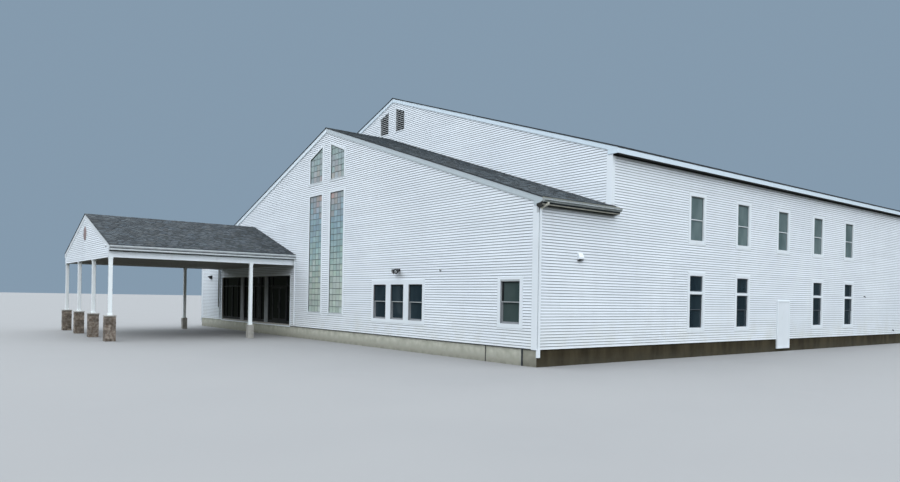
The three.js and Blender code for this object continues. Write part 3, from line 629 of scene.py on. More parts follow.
def vent_outline(side):
    """A vent beside the main ridge: its top follows the roof"""
    a, b = (VENT["centre"] + side * VENT[key] for key in ("inner", "outer"))
    low, drop = VENT["low"], VENT["drop"]
    return [(a, low), (b, low), (b, MAIN.top(b) - drop), (a, MAIN.top(a) - drop)]


def oval(size, sides=32):
    """The plaque's outline at some share of its size"""
    angles = np.linspace(0, 2 * math.pi, sides, endpoint=False) + 0.1
    return [(PORTICO.ridge_x + size * PLAQUE["half_width"] * math.cos(a),
             PLAQUE["z"] + size * PLAQUE["half_height"] * math.sin(a)) for a in angles]


def casing_holes(outlines, width=CASING["width"]):
    return [grown(outline, width) for outline in outlines]


def gable_outline(roof, left, right, low, rake):
    """A wall's outline under the lower edge of its rake boards"""
    return [(left, low), (right, low), (right, roof.top(right) - rake), (roof.ridge_x, roof.ridge_z - rake),
            (left, roof.top(left) - rake)]


def portico_holes():
    """Where the portico's beams, ceiling and roof meet the front wall"""
    eave = PORTICO.soffit[1]
    roof = gable_outline(PORTICO, PORTICO.edge[-1], PORTICO.edge[1], eave, 0.0)
    return [rectangle(BEAM_LOW.x, BEAM_HIGH.x, BEAM_LOW.z, eave), roof]


def siding(name, *runs):
    """One piece of clapboard over one or more walls, each given by clapboard's own values"""
    shape = Shape()
    for run in runs:
        clapboard(shape, *run)
    piece(f"{name}_siding", shape, "vinyl")


def both_storeys(row):
    return casing_holes(storey(row, UPPER) + storey(row, LOWER))


def front_siding():
    holes = casing_holes(FRONT_SINGLE + FRONT_TRIPLE) + casing_holes(tall_lights, TALL_CASING)
    holes += portico_holes() + [rectangle(ENTRY_LEFT, ENTRY_RIGHT, 0.0, ENTRY_TOP)]
    outline = gable_outline(FRONT, FRONT_LEFT, 0.0, SIDING_BOTTOM, RAKE["front"])
    siding("front", (FRONT_WALL, outline, holes))


def right_siding():
    roof_line = FRONT.top(0.0) + FLASHING
    eave = rectangle(-PAST_EDGE, BLOCK_BACK, FRONT.soffit[1], roof_line)
    over_roof = rectangle(-PAST_EDGE, MAIN_FRONT, roof_line, MAIN.ridge_z)
    panel = rectangle(PANEL_LOW.y, PANEL_HIGH.y, 0.0, PANEL_HIGH.z)
    holes = [eave, over_roof, panel] + casing_holes(storey(SIDE_ROW, UPPER) + right_lower)
    siding("right", (RIGHT_WALL, rectangle(0.0, MAIN_BACK, SIDING_BOTTOM, MAIN.soffit[1]), holes))


def left_siding():
    """The front block's left wall and back wall, and the main block's left wall"""
    block_left = rectangle(0.0, BLOCK_BACK, SIDING_BOTTOM, FRONT.soffit[-1])
    roof_depth = FRONT.top(0.0) - FRONT.soffit[1]
    block_back = [(FRONT_LEFT, SIDING_BOTTOM), (MAIN_LEFT, SIDING_BOTTOM),
                  (MAIN_LEFT, FRONT.top(MAIN_LEFT) - roof_depth), (FRONT_LEFT, FRONT.soffit[-1])]
    main_left = rectangle(BLOCK_BACK, MAIN_BACK, SIDING_BOTTOM, MAIN.soffit[-1])
    siding("left", (FRONT_LEFT_WALL, block_left), (BLOCK_BACK_WALL, block_back),
           (MAIN_LEFT_WALL, main_left, both_storeys(SIDE_ROW)))


def back_siding():
    outline = gable_outline(MAIN, MAIN_LEFT, 0.0, SIDING_BOTTOM, RAKE["main"])
    siding("back", (BACK_WALL, outline, both_storeys(BACK_ROW)))


def main_gable_siding():
    """The gable over the front roof, with its courses level with those of the walls"""
    roof = gable_outline(FRONT, MAIN_LEFT - PAST_EDGE, PAST_EDGE, 0.0, -FLASHING)
    holes = [roof] + casing_holes([vent_outline(-1), vent_outline(1)], VENT_CASING)
    base = SIDING_BOTTOM + math.floor((FRONT.top(0.0) - SIDING_BOTTOM) / COURSE) * COURSE
    outline = gable_outline(MAIN, MAIN_LEFT, 0.0, base, RAKE["main"])
    siding("main_gable", (GABLE_WALL, outline, holes, base))


def portico_siding():
    outline = gable_outline(PORTICO, BEAM_LOW.x, BEAM_HIGH.x, BEAM_LOW.z, RAKE["portico"])
    siding("portico", (PORTICO_WALL, outline, [oval(0.94, 16)], BEAM_LOW.z,
                       PORTICO_PAINTED_LIGHT["shade"], PORTICO_PAINTED_LIGHT["groove_shade"]))


def make_siding():
    for make in (front_siding, right_siding, left_siding, back_siding, main_gable_siding, portico_siding):
        make()


# White trim


def corner_post(shape, x, y, out_x, out_y, z0, z1):
    """An L of two boards round an outside corner"""
    thick = POST["proud"]
    edge_x, face_x = x - out_x * POST["front"], x + out_x * thick
    edge_y, face_y = y - out_y * POST["side"], y + out_y * thick
    outline = [(edge_x, y), (edge_x, face_y), (face_x, face_y), (face_x, edge_y), (x, edge_y), (x, y)]
    shape.loft([[(a, b, z) for a, b in outline] for z in (z0, z1)])


def slope_strip(shape, wall, roof, x0, x1, drop0, drop1, w0, w1):
    """A strip along one side of a gable, between two drops below the roof's line"""
    outline = [(x0, roof.top(x0) - drop1), (x1, roof.top(x1) - drop1), (x1, roof.top(x1) - drop0),
               (x0, roof.top(x0) - drop0)]
    shape.slab(wall, outline, w0, w1)


def both_slopes(shape, wall, roof, left, right, drop0, drop1, w0, w1):
    slope_strip(shape, wall, roof, left, roof.ridge_x, drop0, drop1, w0, w1)
    slope_strip(shape, wall, roof, roof.ridge_x, right, drop0, drop1, w0, w1)


def make_corner_posts():
    shape = Shape()
    low = SIDING_BOTTOM - 0.02
    corners = [
        (0.0, 0.0, 1, -1, low, FRONT.soffit[1]),
        (FRONT_LEFT, 0.0, -1, -1, low, FRONT.soffit[-1]),
        (FRONT_LEFT, BLOCK_BACK, -1, 1, low, FRONT.soffit[-1]),
        (0.0, MAIN_FRONT, 1, -1, FRONT.top(0.0) + 0.03, MAIN.soffit[1]),
        (MAIN_LEFT, MAIN_FRONT, -1, -1, FRONT.top(MAIN_LEFT) + 0.03, MAIN.soffit[-1]),
        (0.0, MAIN_BACK, 1, 1, low, MAIN.soffit[1]),
        (MAIN_LEFT, MAIN_BACK, -1, 1, low, MAIN.soffit[-1]),
    ]
    for corner in corners:
        corner_post(shape, *corner)
    for side in (-1, 1):
        x = BEAM_SIDE[side]
        top = PORTICO.top(x) - RAKE["portico"] + 0.02
        shape.block((x, x - side * 0.15), (BEAM_LOW.y, BEAM_LOW.y - 0.026), (BEAM_LOW.z, top))
    piece("corner_posts", shape, "trim", bevel=0.004)


def make_channels():
    """J-channels under the rake boards and round the entrance, and starter strips at the walls' feet"""
    shape = Shape()
    height, proud = CHANNEL["height"], CHANNEL["proud"]
    for wall, roof, left, right, name in GABLES:
        both_slopes(shape, wall, roof, left, right, RAKE[name], RAKE[name] + height, 0.0, proud)
    low, high = SIDING_BOTTOM - 0.004, SIDING_BOTTOM + 0.004
    feet = [
        (FRONT_WALL, FRONT_LEFT, ENTRY_LEFT), (FRONT_WALL, ENTRY_RIGHT, 0.0),
        (RIGHT_WALL, 0.0, PANEL_LOW.y), (RIGHT_WALL, PANEL_HIGH.y, MAIN_BACK),
        (FRONT_LEFT_WALL, 0.0, BLOCK_BACK), (BLOCK_BACK_WALL, FRONT_LEFT, MAIN_LEFT),
        (MAIN_LEFT_WALL, BLOCK_BACK, MAIN_BACK), (BACK_WALL, MAIN_LEFT, 0.0),
    ]
    for wall, u0, u1 in feet:
        shape.slab(wall, rectangle(u0, u1, low, high), -0.02, LIP + 0.002)
    entry = rectangle(ENTRY_LEFT, ENTRY_RIGHT, FLOOR_TOP - 0.08, ENTRY_TOP)
    shape.surround(FRONT_WALL, grown(entry, 0.06), entry, 0.0, proud)
    trim_piece("siding_channels", shape)


def make_rake_caps():
    """Dark drip edges along the gables, just over the rake boards"""
    shape = Shape()
    for wall, roof, _, _, name in GABLES:
        out, drop = RAKE_THICK[name], RAKE_CAP[name]
        both_slopes(shape, wall, roof, roof.edge[-1], roof.edge[1], -0.004, drop, out, out + 0.012)
    piece("rake_drip_edges", shape, "drip")


# Eaves


def main_eave(fascia, soffit, drips_and_shadows, side):
    wall_x, edge, low = MAIN_SIDE[side], MAIN.edge[side], MAIN.soffit[side]
    y = (MAIN.front - RAKE_THICK["main"], MAIN.back + RAKE_THICK["main"])
    drip = MAIN.top(edge) - DRIP["main"]
    fascia.block((edge, edge + side * FASCIA), y, (low, drip))
    drips_and_shadows.block((edge, edge + side * 0.02), y, (drip, MAIN.top(edge) + 0.004))
    # A dark strip along the wall's top under the soffit, painted shade of the eave
    drips_and_shadows.block((wall_x, wall_x + side * 0.03), (MAIN_FRONT, MAIN_BACK), (low - 0.055, low - 0.010))
    soffit_boards(soffit, wall_x, edge, MAIN.front, MAIN.back, low)


def front_eave(fascia, soffit, drips_and_shadows, side):
    edge, low = FRONT.edge[side], FRONT.soffit[side]
    y = (FRONT.front - RAKE_THICK["front"], FRONT.back)
    fascia.block((edge, edge + side * FASCIA), y, (low - 0.012, FRONT.top(edge)))
    foot = gutter_foot(FRONT, side, "front")
    # A dark band on the fascia under the gutter, painted shadow
    drips_and_shadows.block((edge, edge + side * 0.02), y, (foot - 0.05, foot - 0.001))
    soffit_boards(soffit, FRONT_SIDE[side], edge, FRONT.front, FRONT.back, low)


def portico_eave(fascia, drips_and_shadows, side):
    """The fascia over the gutter, and a trim strip and a painted shadow line along the beam"""
    edge, low = PORTICO.edge[side], PORTICO.soffit[side]
    y = (PORTICO.front - RAKE_THICK["portico"], -0.002)
    drip = PORTICO.top(edge) - DRIP["portico"]
    fascia.block((edge, edge + side * FASCIA), y, (low + 0.004, drip))
    drips_and_shadows.block((edge, edge + side * 0.10), y, (drip, PORTICO.top(edge) + 0.002))
    beam_x, y = BEAM_SIDE[side], (BEAM_LOW.y, -0.002)
    # A dark line along the beam's top, painted shadow
    drips_and_shadows.block((beam_x, beam_x + side * 0.02), y, (BEAM_HIGH.z - 0.03, BEAM_HIGH.z - 0.004))
    fascia.block((beam_x, beam_x + side * FASCIA), y, (BEAM_LOW.z - 0.004, BEAM_LOW.z + 0.045))


def make_eaves():
    """Fascia boards, soffits, the dark drip edges over them and painted shadow lines under them"""
    main_fascia, portico_fascia, front_fascia, soffit, drips_and_shadows = (Shape() for _ in range(5))
    for side in (1, -1):
        main_eave(main_fascia, soffit, drips_and_shadows, side)
        front_eave(front_fascia, soffit, drips_and_shadows, side)
        portico_eave(portico_fascia, drips_and_shadows, side)
    piece("main_eave_fascias", main_fascia, "rake", bevel=SOFT_EDGE)
    trim_piece("portico_eave_fascias", portico_fascia)
    piece("front_eave_fascias", front_fascia, "shaded_fascia", bevel=SOFT_EDGE)
    piece("eave_soffits", soffit, "soffit")
    piece("eave_drips_and_shadow_lines", drips_and_shadows, "drip")


def gutter_foot(roof, side, name):
    """The height of a gutter's underside"""
    return roof.top(roof.edge[side]) - GUTTER_DROP[name] - GUTTER_HEIGHT[name]


def soffit_boards(shape, wall_x, edge, y0, y1, z):
    """Vented soffit panels, each with three grooves, side by side along an eave"""
    width = 0.3
    count = round((y1 - y0) / width)
    pitch = (y1 - y0) / count
    for i in range(count):
        start = y0 + i * pitch
        for k in range(3):
            a = start + k * pitch / 3
            shape.block((wall_x, edge), (a + 0.003, a + pitch / 3 - 0.003), (z - 0.010, z))


# Shingles


class Incline:
    """One side of a roof: s runs up from the eave, v runs along Y, and n out of the surface"""

    def __init__(self, roof, side):
        self.roof, self.side = roof, side
        angle = math.atan(roof.slope)
        self.cos, self.sin = math.cos(angle), math.sin(angle)
        self.length = abs(roof.edge[side] - roof.ridge_x) / self.cos

    def at(self, s, v, n):
        x = self.roof.edge[self.side] - self.side * s * self.cos + self.side * n * self.sin
        return (x, v, self.roof.top(self.roof.edge[self.side]) + s * self.sin + n * self.cos)

    def plank(self, shape, s, v, low, high, tone):
        """A solid between s and v pairs, with its top face at low and high"""
        rings = []
        for along, out in zip(s, (low, high)):
            rings.append([self.at(along, v[0], 0.001), self.at(along, v[1], 0.001), self.at(along, v[1], out),
                          self.at(along, v[0], out)])
        shape.loft(rings, tone)


def shingle_tone(painted_brightness):
    """Mostly middle charcoals, now and then a pale, bluish or brownish tab"""
    level = painted_brightness * (0.50 + 0.95 * rng.random() ** 1.4)
    tint = rng.normal(-0.01, 0.035)
    return (level * (1 + tint), level, level * (1 - tint))


def shingle_course(shape, incline, s0, y0, y1, tab_gap, painted_brightness):
    s1 = min(s0 + EXPOSURE, incline.length)
    v = y0
    while v < y1 - 0.02:
        end = min(y1, v + 0.7 + 0.6 * rng.random())
        level = painted_brightness * (0.5 + 0.3 * rng.random())
        incline.plank(shape, (s0, s1), (v, end), 0.012, 0.004, (level, level, level))
        v = end
    v = y0 + rng.random() * 0.2
    while v < y1 - 0.1:
        end = min(y1, v + 0.12 + 0.24 * rng.random())
        incline.plank(shape, (s0 - 0.004, s1), (v, end), 0.020, 0.011, shingle_tone(painted_brightness))
        v = end + tab_gap * (0.5 + rng.random())


def make_shingles():
    main_back = MAIN.back + RAKE_THICK["main"] + SHINGLE_OVERHANG
    # Each plan's last value lightens its roof's shingles as painted light, the front roof's most
    plans = [("front", FRONT, MAIN_FRONT - 0.001, 0.12, 1.5), ("main", MAIN, main_back, 0.16, 1.2),
             ("portico", PORTICO, -0.02, 0.1, 1.0)]
    for name, roof, y1, gap, painted_brightness in plans:
        y0 = roof.front - RAKE_THICK[name] - SHINGLE_OVERHANG
        for side, word in SIDES:
            shape, incline = Shape(), Incline(roof, side)
            s = -SHINGLE_OVERHANG
            while s < incline.length - 0.02:
                shingle_course(shape, incline, s, y0, y1, gap, painted_brightness)
                s += EXPOSURE
            piece(f"{name}_{word}_shingles", shape, "shingle")
        ridge = Shape()
        v = y0
        while v < y1 - 0.02:
            end = min(y1, v + EXPOSURE)
            tone = shingle_tone(painted_brightness)
            for side in (1, -1):
                incline = Incline(roof, side)
                s = (incline.length - 0.15, incline.length + 0.004)
                rings = [[incline.at(s[0], c, 0.008), incline.at(s[0], c, out), incline.at(s[1], c, out),
                          incline.at(s[1], c, 0.008)] for c, out in ((v, 0.024), (end, 0.017))]
                ridge.loft(rings, tone)
            v = end
        piece(f"{name}_ridge_caps", ridge, "shingle")


# Gutters


GUTTER_PROFILE = [(0.0, 0.0), (0.075, 0.0), (0.079, 0.022), (0.088, 0.042), (0.104, 0.062), (0.116, 0.086),
                  (0.116, 0.112), (0.120, 0.114), (0.120, 0.125), (0.104, 0.125)]


GUTTER_WALL = 0.004


def trough_outline():
    """The gutter's section: its outer face, then its inner face a wall's thickness in"""
    inner = []
    for x, h in GUTTER_PROFILE[::-1]:
        lift = GUTTER_WALL if h < 0.1 else 0.0
        inner.append((max(GUTTER_WALL, x - GUTTER_WALL), max(GUTTER_WALL, h + lift)))
    inner[0] = (0.104, 0.119)
    return GUTTER_PROFILE + inner + [(GUTTER_WALL, 0.125), (0.0, 0.125)]


def gutter_run(shape, lip, roof, side, name, y1):
    """A K-shaped trough hung on a fascia, with end caps, hanger straps and a strip high on its face in the
    lip's own finish, which on the front gutters is white as a painted highlight
    """
    edge, z = roof.edge[side] + side * FASCIA, gutter_foot(roof, side, name)
    y0, height = roof.front - RAKE_THICK[name], GUTTER_HEIGHT[name]
    top, tall = z + height, height / GUTTER_PROFILE[-1][1]
    # A strip across the upper face: painted highlight of the lip
    lip.block((edge + side * 0.103, edge + side * 0.122), (y0 - 0.005, y1 + 0.005),
              (top - 0.055, top - 0.046))
    shape.loft([[(edge + side * x, y, z + h * tall) for x, h in trough_outline()] for y in (y0, y1)])
    solid = GUTTER_PROFILE + [(0.0, 0.125)]
    for y in ((y0 - 0.004, y0), (y1, y1 + 0.004)):
        shape.loft([[(edge + side * x, c, z + h * tall) for x, h in solid] for c in y])
    count = max(2, round((y1 - y0) / 0.8))
    for i in range(count):
        y = y0 + (i + 0.5) * (y1 - y0) / count
        shape.block((edge, edge + side * 0.108), (y - 0.012, y + 0.012), (top - 0.008, top - 0.004))


def downspout_and_lip_highlight(shape, path, depth=0.05, width=0.075):
    """A rectangular pipe with soft corners along a path"""
    near, half, cut = depth / 2, width / 2, 0.01
    section = [(-near, cut - half), (cut - near, -half), (near - cut, -half), (near, cut - half),
               (near, half - cut), (near - cut, half), (cut - near, half), (-near, half - cut)]
    points = [Vector(p) for p in path]
    rings = []
    for i, point in enumerate(points):
        arriving = (point - points[max(0, i - 1)]).normalized()
        leaving = (points[min(i + 1, len(points) - 1)] - point).normalized()
        heading = (arriving + leaving).normalized()
        along = (Vector((0, 1, 0)) - heading * heading.y).normalized()
        across = heading.cross(along)
        rings.append([tuple(point + across * a + along * b) for a, b in section])
    shape.loft(rings)


def front_downspout(white, beige, side):
    """A beige elbow from the trough to a white pipe beside the corner post, with straps and a shoe"""
    wall_x, soffit = FRONT_SIDE[side], FRONT.soffit[side]
    edge, low = FRONT.edge[side] + side * FASCIA, gutter_foot(FRONT, side, "front")
    y, near, outlet = 0.056, wall_x + side * 0.053, edge + side * 0.04
    downspout_and_lip_highlight(beige, [(outlet, 0.17, low + 0.01), (outlet, 0.17, low - 0.04),
                      (edge + side * 0.01, 0.155, soffit), (near + side * 0.02, 0.08, soffit - 0.09),
                      (near, y, soffit - 0.14)], 0.065, 0.095)
    downspout_and_lip_highlight(white, [(near, y, soffit - 0.12), (near, y, 0.36)])
    for z in (soffit - 0.6, 3.0, 1.2):
        white.block((wall_x, near + side * 0.03), (y - 0.043, y + 0.043), (z, z + 0.03))
    white.block((wall_x - side * 0.015, wall_x + side * 0.08), (-0.012, 0.095), (0.33, 0.62))


def front_corner(corner_shadows, return_shadows, shade, side):
    """A grey line down the corner post as painted shadow, the rake's return over the post painted near-black
    as shade, and the post's shaded head
    """
    wall_x, soffit = FRONT_SIDE[side], FRONT.soffit[side]
    skin = wall_x + side * POST["proud"]
    # A grey line at the post's edge, painted shadow between the post and the downspout
    corner_shadows.block((skin - side * 0.004, skin + side * 0.003), (-0.005, 0.004), (0.62, soffit - 0.08))
    tip, foot = FRONT.edge[side] + side * 0.002, soffit - 0.07
    outline = [(wall_x, foot), (tip, foot), (tip, foot + 0.195), (wall_x + side * 0.135, foot + 0.155),
               (wall_x + side * 0.05, foot + 0.135), (wall_x - side * 0.065, foot + 0.115),
               (wall_x - side * 0.065, foot + 0.045)]
    # The return is painted near-black as shade
    return_shadows.slab(FRONT_WALL, outline, 0.0, RAKE_THICK["front"] + 0.002)
    inner = wall_x - side * 0.075
    for low, high, w in ((foot - 0.19, foot, 0.0265), (foot - 0.05, foot + 0.045, 0.028)):
        shade.slab(FRONT_WALL, rectangle(inner, skin, low, high), 0.0, w)


def make_front_gutters():
    """Grey troughs and their downspouts, with painted shadow lines, rake returns painted near-black as shade
    and shaded post heads at the corners
    """
    corner_shadows, return_shadows, shade = Shape(), Shape(), Shape()
    for side, word in SIDES:
        trough, white, beige = Shape(), Shape(), Shape()
        gutter_run(trough, white, FRONT, side, "front", FRONT.back)
        front_downspout(white, beige, side)
        front_corner(corner_shadows, return_shadows, shade, side)
        piece(f"front_{word}_eave_gutter", trough, "gutter", replaces=[f"front_{word}_gutter"])
        piece(f"front_{word}_downspout", white, "trim")
        piece(f"front_{word}_gutter_elbow", beige, "beige")
    piece("front_corner_shadow_lines", corner_shadows, "grey_sash")
    piece("front_rake_return_shadows", return_shadows, "soffit")
    piece("front_post_heads", shade, "post_shade")


def make_portico_gutters():
    """Troughs with a painted shadow line between two pale bands, and white downspouts"""
    shadow_lines = Shape()
    for side, word in SIDES:
        trough, pipe = Shape(), Shape()
        low = gutter_foot(PORTICO, side, "portico")
        gutter_run(trough, trough, PORTICO, side, "portico", -0.02)
        edge, along = PORTICO.edge[side] + side * FASCIA, (PORTICO.front - RAKE_THICK["portico"], -0.02)
        trough.block((edge, edge + side * 0.118), along, (low - 0.055, low + 0.010))
        # A dark line across the gutter's face, painted shadow
        shadow_lines.block((edge, edge + side * 0.122), along, (low + 0.014, low + 0.046))
        x, y = edge + side * 0.06, -0.055
        downspout_and_lip_highlight(pipe, [(x, y, low + 0.01), (x, y, FLOOR_TOP)], 0.075, 0.05)
        for z in (3.4, 2.0, 0.95):
            pipe.block((x - 0.043, x + 0.043), (y - 0.03, -0.02), (z, z + 0.03))
        piece(f"portico_{word}_eave_gutter", trough, "portico_gutter",
              replaces=[f"portico_{word}_gutter"])
        piece(f"portico_{word}_downspout", pipe, "trim")
    piece("portico_painted_shadow_lines", shadow_lines, "drip")


# Windows


WINDOW_LOOKS = {
    # The front windows' grey linings and lower sash stand for white reveals and frames in shade, painted
    # shade; their dark upper sash partly stands for the shadow in the deep reveal
    "front": {"lining": "sash", "upper": "bronze", "lower": "sash", "rail": "pale_rail",
              "depth": -0.075, "foot": 0.06},
    "high": {"lining": "trim", "upper": "grey_sash", "lower": "grey_sash", "rail": "trim",
             "depth": -0.045, "foot": 0.036},
    "low": {"lining": "trim", "upper": "dark_rail", "lower": "dark_rail", "rail": "dark_rail",
            "depth": -0.045, "foot": 0.036},
}


class WindowSet:
    """The casings, linings, sashes and panes of one row of windows"""

    def __init__(self, wall, look, pane_finish):
        self.wall, self.look, self.pane_finish = wall, WINDOW_LOOKS[look], pane_finish
        self.casing = Shape()
        self.shapes = {}

    def shape(self, finish):
        return self.shapes.setdefault(finish, Shape())

    def surround(self, outline):
        """A flat casing, the lining of the opening and its sloping sill"""
        (u0, z0), (u1, _) = outline[:2]
        self.casing.surround(self.wall, grown(outline, CASING["width"]), outline, 0.0, CASING["proud"])
        lining = self.shape(self.look["lining"])
        lining.surround(self.wall, grown(outline, 0.004), grown(outline, -LINING), WINDOW_BACK, 0.012)
        low = z0 + LINING
        profile = [(WINDOW_BACK, low - 0.01), (0.018, low - 0.01), (0.018, low), (WINDOW_BACK, low + 0.03)]
        lining.loft([[self.wall.at(u, w, z) for w, z in profile] for u in (u0 + LINING, u1 - LINING)])

    def sash(self, u0, u1, z0, z1, w, finish):
        """One sash: a frame round a pane"""
        outer = rectangle(u0, u1, z0, z1)
        inner = grown(outer, -SASH_STILE)
        self.shape(finish).surround(self.wall, outer, inner, w - 0.032, w)
        self.shape(self.pane_finish).slab(self.wall, grown(inner, 0.004), w - 0.022, w - 0.016)

    def window(self, outline, rail, transom=None):
        """Two sashes, the lower one farther in, under a fixed light where there is a transom"""
        (u0, z0), (u1, _), (_, z1), _ = outline
        self.surround(outline)
        u0, u1, z0, top = u0 + LINING, u1 - LINING, z0 + LINING, z1 - LINING
        if transom:
            low, high = transom - TRANSOM_BAR / 2, transom + TRANSOM_BAR / 2
            self.casing.slab(self.wall, rectangle(u0, u1, low, high), WINDOW_BACK, 0.022)
            self.sash(u0, u1, high, top, UPPER_SASH, self.look["upper"])
            top = low
        self.sash(u0, u1, rail - RAIL / 2, top, UPPER_SASH, self.look["upper"])
        w, finish = self.look["depth"], self.look["lower"]
        self.sash(u0, u1, z0, rail + SASH_STILE / 2 + 0.002, w, finish)
        self.shape(finish).slab(self.wall, rectangle(u0, u1, z0, z0 + self.look["foot"]), w - 0.03, w + 0.002)
        meeting = rectangle(u0, u1, rail - RAIL / 2, rail + RAIL / 2)
        self.shape(self.look["rail"]).slab(self.wall, meeting, UPPER_SASH - 0.034, UPPER_SASH + 0.004)

    def finish(self, name, node):
        trim_piece(f"{name}_casings", self.casing, [node])
        for finish, shape in self.shapes.items():
            piece(f"{name}_{finish}", shape, finish)


def make_window_rows():
    rows = [
        ("front_single_window", FRONT_WALL, FRONT_SINGLE, "front", "screened"),
        ("front_triple_window", FRONT_WALL, FRONT_TRIPLE, "front", "glass"),
        ("right_lower_windows", RIGHT_WALL, right_lower, "low", "glass"),
        ("right_upper_windows", RIGHT_WALL, storey(SIDE_ROW, UPPER), "high", "curtained"),
        ("left_lower_windows", MAIN_LEFT_WALL, storey(SIDE_ROW, LOWER), "low", "glass"),
        ("left_upper_windows", MAIN_LEFT_WALL, storey(SIDE_ROW, UPPER), "high", "curtained"),
        ("back_lower_windows", BACK_WALL, storey(BACK_ROW, LOWER), "low", "glass"),
        ("back_upper_windows", BACK_WALL, storey(BACK_ROW, UPPER), "high", "curtained"),
    ]
    for name, wall, outlines, look, pane_finish in rows:
        windows = WindowSet(wall, look, pane_finish)
        for outline in outlines:
            middle = (outline[0][1] + outline[2][1]) / 2
            rail = {"front": middle + 0.015, "high": UPPER_RAIL, "low": LOWER_RAIL}[look]
            windows.window(outline, rail, TRANSOM if look == "low" else None)
        windows.finish(name, name)
    make_triple_boards()


def make_triple_boards():
    """White boards between the three windows and a deeper head over them"""
    shape = Shape()
    width, proud = CASING["width"], CASING["proud"]
    for a, b in zip(FRONT_TRIPLE, FRONT_TRIPLE[1:]):
        gap = rectangle(a[1][0] + width - 0.01, b[0][0] - width + 0.01, a[0][1] - width, a[2][1] + width)
        shape.slab(FRONT_WALL, gap, 0.0, proud - 0.002)
    left, right, top = FRONT_TRIPLE[0][0][0], FRONT_TRIPLE[-1][1][0], FRONT_TRIPLE[0][2][1]
    shape.slab(FRONT_WALL, rectangle(left - width, right + width, top + width - 0.002, top + 0.2), 0.0, proud)
    trim_piece("triple_window_boards", shape)


def make_single_window_shade():
    """Painted shade at the single front window: a grey band at its head, and a grey and a dark strip beside
    its upper sash for its shaded jamb
    """
    (u0, z0), (u1, _), (_, z1), _ = FRONT_SINGLE[0]
    low, high = (z0 + z1) / 2 + 0.03, z1 - LINING
    head, jamb = Shape(), Shape()
    head.slab(FRONT_WALL, rectangle(u0, u1, z1 - LINING, z1 + 0.055), 0.0, CASING["proud"] + 0.002)
    for strip, start, end in ((head, LINING, 0.034), (jamb, 0.034, 0.12)):
        outline = rectangle(u0 + start, u0 + end, low, high)
        strip.slab(FRONT_WALL, outline, UPPER_SASH - 0.03, UPPER_SASH + 0.001)
    piece("single_window_head_shade", head, "pale_rail")
    piece("single_window_jamb_shadow", jamb, "bronze")


# Stained glass


PANE_ROW = 0.3
PANE_COLUMNS = 4
CAME = 0.024
GLASS_W = -0.022
TALL_FRAME = 0.02
GLASS_STOPS = [
    (0.00, (0.44, 0.52, 0.47)), (0.16, (0.46, 0.53, 0.47)), (0.34, (0.33, 0.45, 0.44)),
    (0.55, (0.275, 0.395, 0.455)), (0.80, (0.29, 0.36, 0.38)), (1.00, (0.27, 0.36, 0.345)),
]
ROSE = (0.46, 0.36, 0.32)


def pane_colour(height, column, row):
    """Green-grey at the foot, blue-grey in the middle and rose higher up, most of it in the inner columns"""
    level = min(1.0, max(0.0, height + 0.05 * math.sin(1.7 * row + 2.1 * column)))
    heights = [stop for stop, _ in GLASS_STOPS]
    colour = [np.interp(level, heights, [c[k] for _, c in GLASS_STOPS]) for k in range(3)]
    rose = max(0.0, 1 - abs(level - 0.71) / 0.17) * (1 - 0.26 * column)
    colour = [c + (r - c) * rose for c, r in zip(colour, ROSE)]
    shade = 0.92 + 0.14 * rng.random()
    if rng.random() < (0.3 if column == PANE_COLUMNS - 1 else 0.1):
        shade *= 1.14
    return tuple(float(c * shade * (1 + rng.normal(0, 0.02))) for c in colour)


def stained_light(panes, cames, outline):
    """The panes of one light and the cames between them; its top may slant"""
    (u0, z0), (u1, _), (_, z1), (_, z2) = grown(outline, 0.004 - TALL_FRAME)

    def top(u):
        return z2 + (z1 - z2) * (u - u0) / (u1 - u0)

    rows = math.ceil((max(z1, z2) - z0) / PANE_ROW)
    step = (u1 - u0) / PANE_COLUMNS
    for column in range(PANE_COLUMNS):
        a, b = u0 + column * step, u0 + (column + 1) * step
        for row in range(rows):
            low, high = z0 + row * PANE_ROW, z0 + (row + 1) * PANE_ROW
            high_a, high_b = min(high, top(a)), min(high, top(b))
            if max(high_a, high_b) < low + 0.02:
                continue
            corners = [(a, low), (b, low), (b, max(high_b, low + 0.002)), (a, max(high_a, low + 0.002))]
            height = (low - TALL["low"]) / (PEAK["inner_top"] - TALL["low"])
            tilt = 0.003 * rng.random()
            panes.slab(FRONT_WALL, corners, GLASS_W - 0.006, GLASS_W + tilt, pane_colour(height, column, row))
        if column:
            upright = rectangle(a - CAME / 3, a + CAME / 3, z0, top(a))
            cames.slab(FRONT_WALL, upright, GLASS_W - 0.008, GLASS_W + 0.006)
    for row in range(1, rows):
        z = z0 + row * PANE_ROW
        ends = span([(u0, z0), (u1, z0), (u1, z1), (u0, z2)], z)
        if ends:
            level = rectangle(*ends, z - CAME / 2, z + CAME / 2)
            cames.slab(FRONT_WALL, level, GLASS_W - 0.008, GLASS_W + 0.01)


def make_stained_glass():
    trim, frames, panes, cames = Shape(), Shape(), Shape(), Shape()
    for outline in tall_lights:
        trim.surround(FRONT_WALL, grown(outline, TALL_CASING), outline, 0.0, 0.026)
        frames.surround(FRONT_WALL, outline, grown(outline, -TALL_FRAME), -0.1, 0.012)
        (u0, z0), (u1, _) = outline[:2]
        left, right = min(u0, u1) - TALL_CASING, max(u0, u1) + TALL_CASING
        trim.slab(FRONT_WALL, rectangle(left, right, z0 - 0.02, z0 + 0.004), 0.0, 0.045)
        stained_light(panes, cames, outline)
    trim_piece("stained_glass_casings", trim, ["stained_glass_windows"])
    piece("stained_glass_frames", frames, "came")
    piece("stained_glass_panes", panes, "stained")
    piece("stained_glass_cames", cames, "came")


# Gable vents


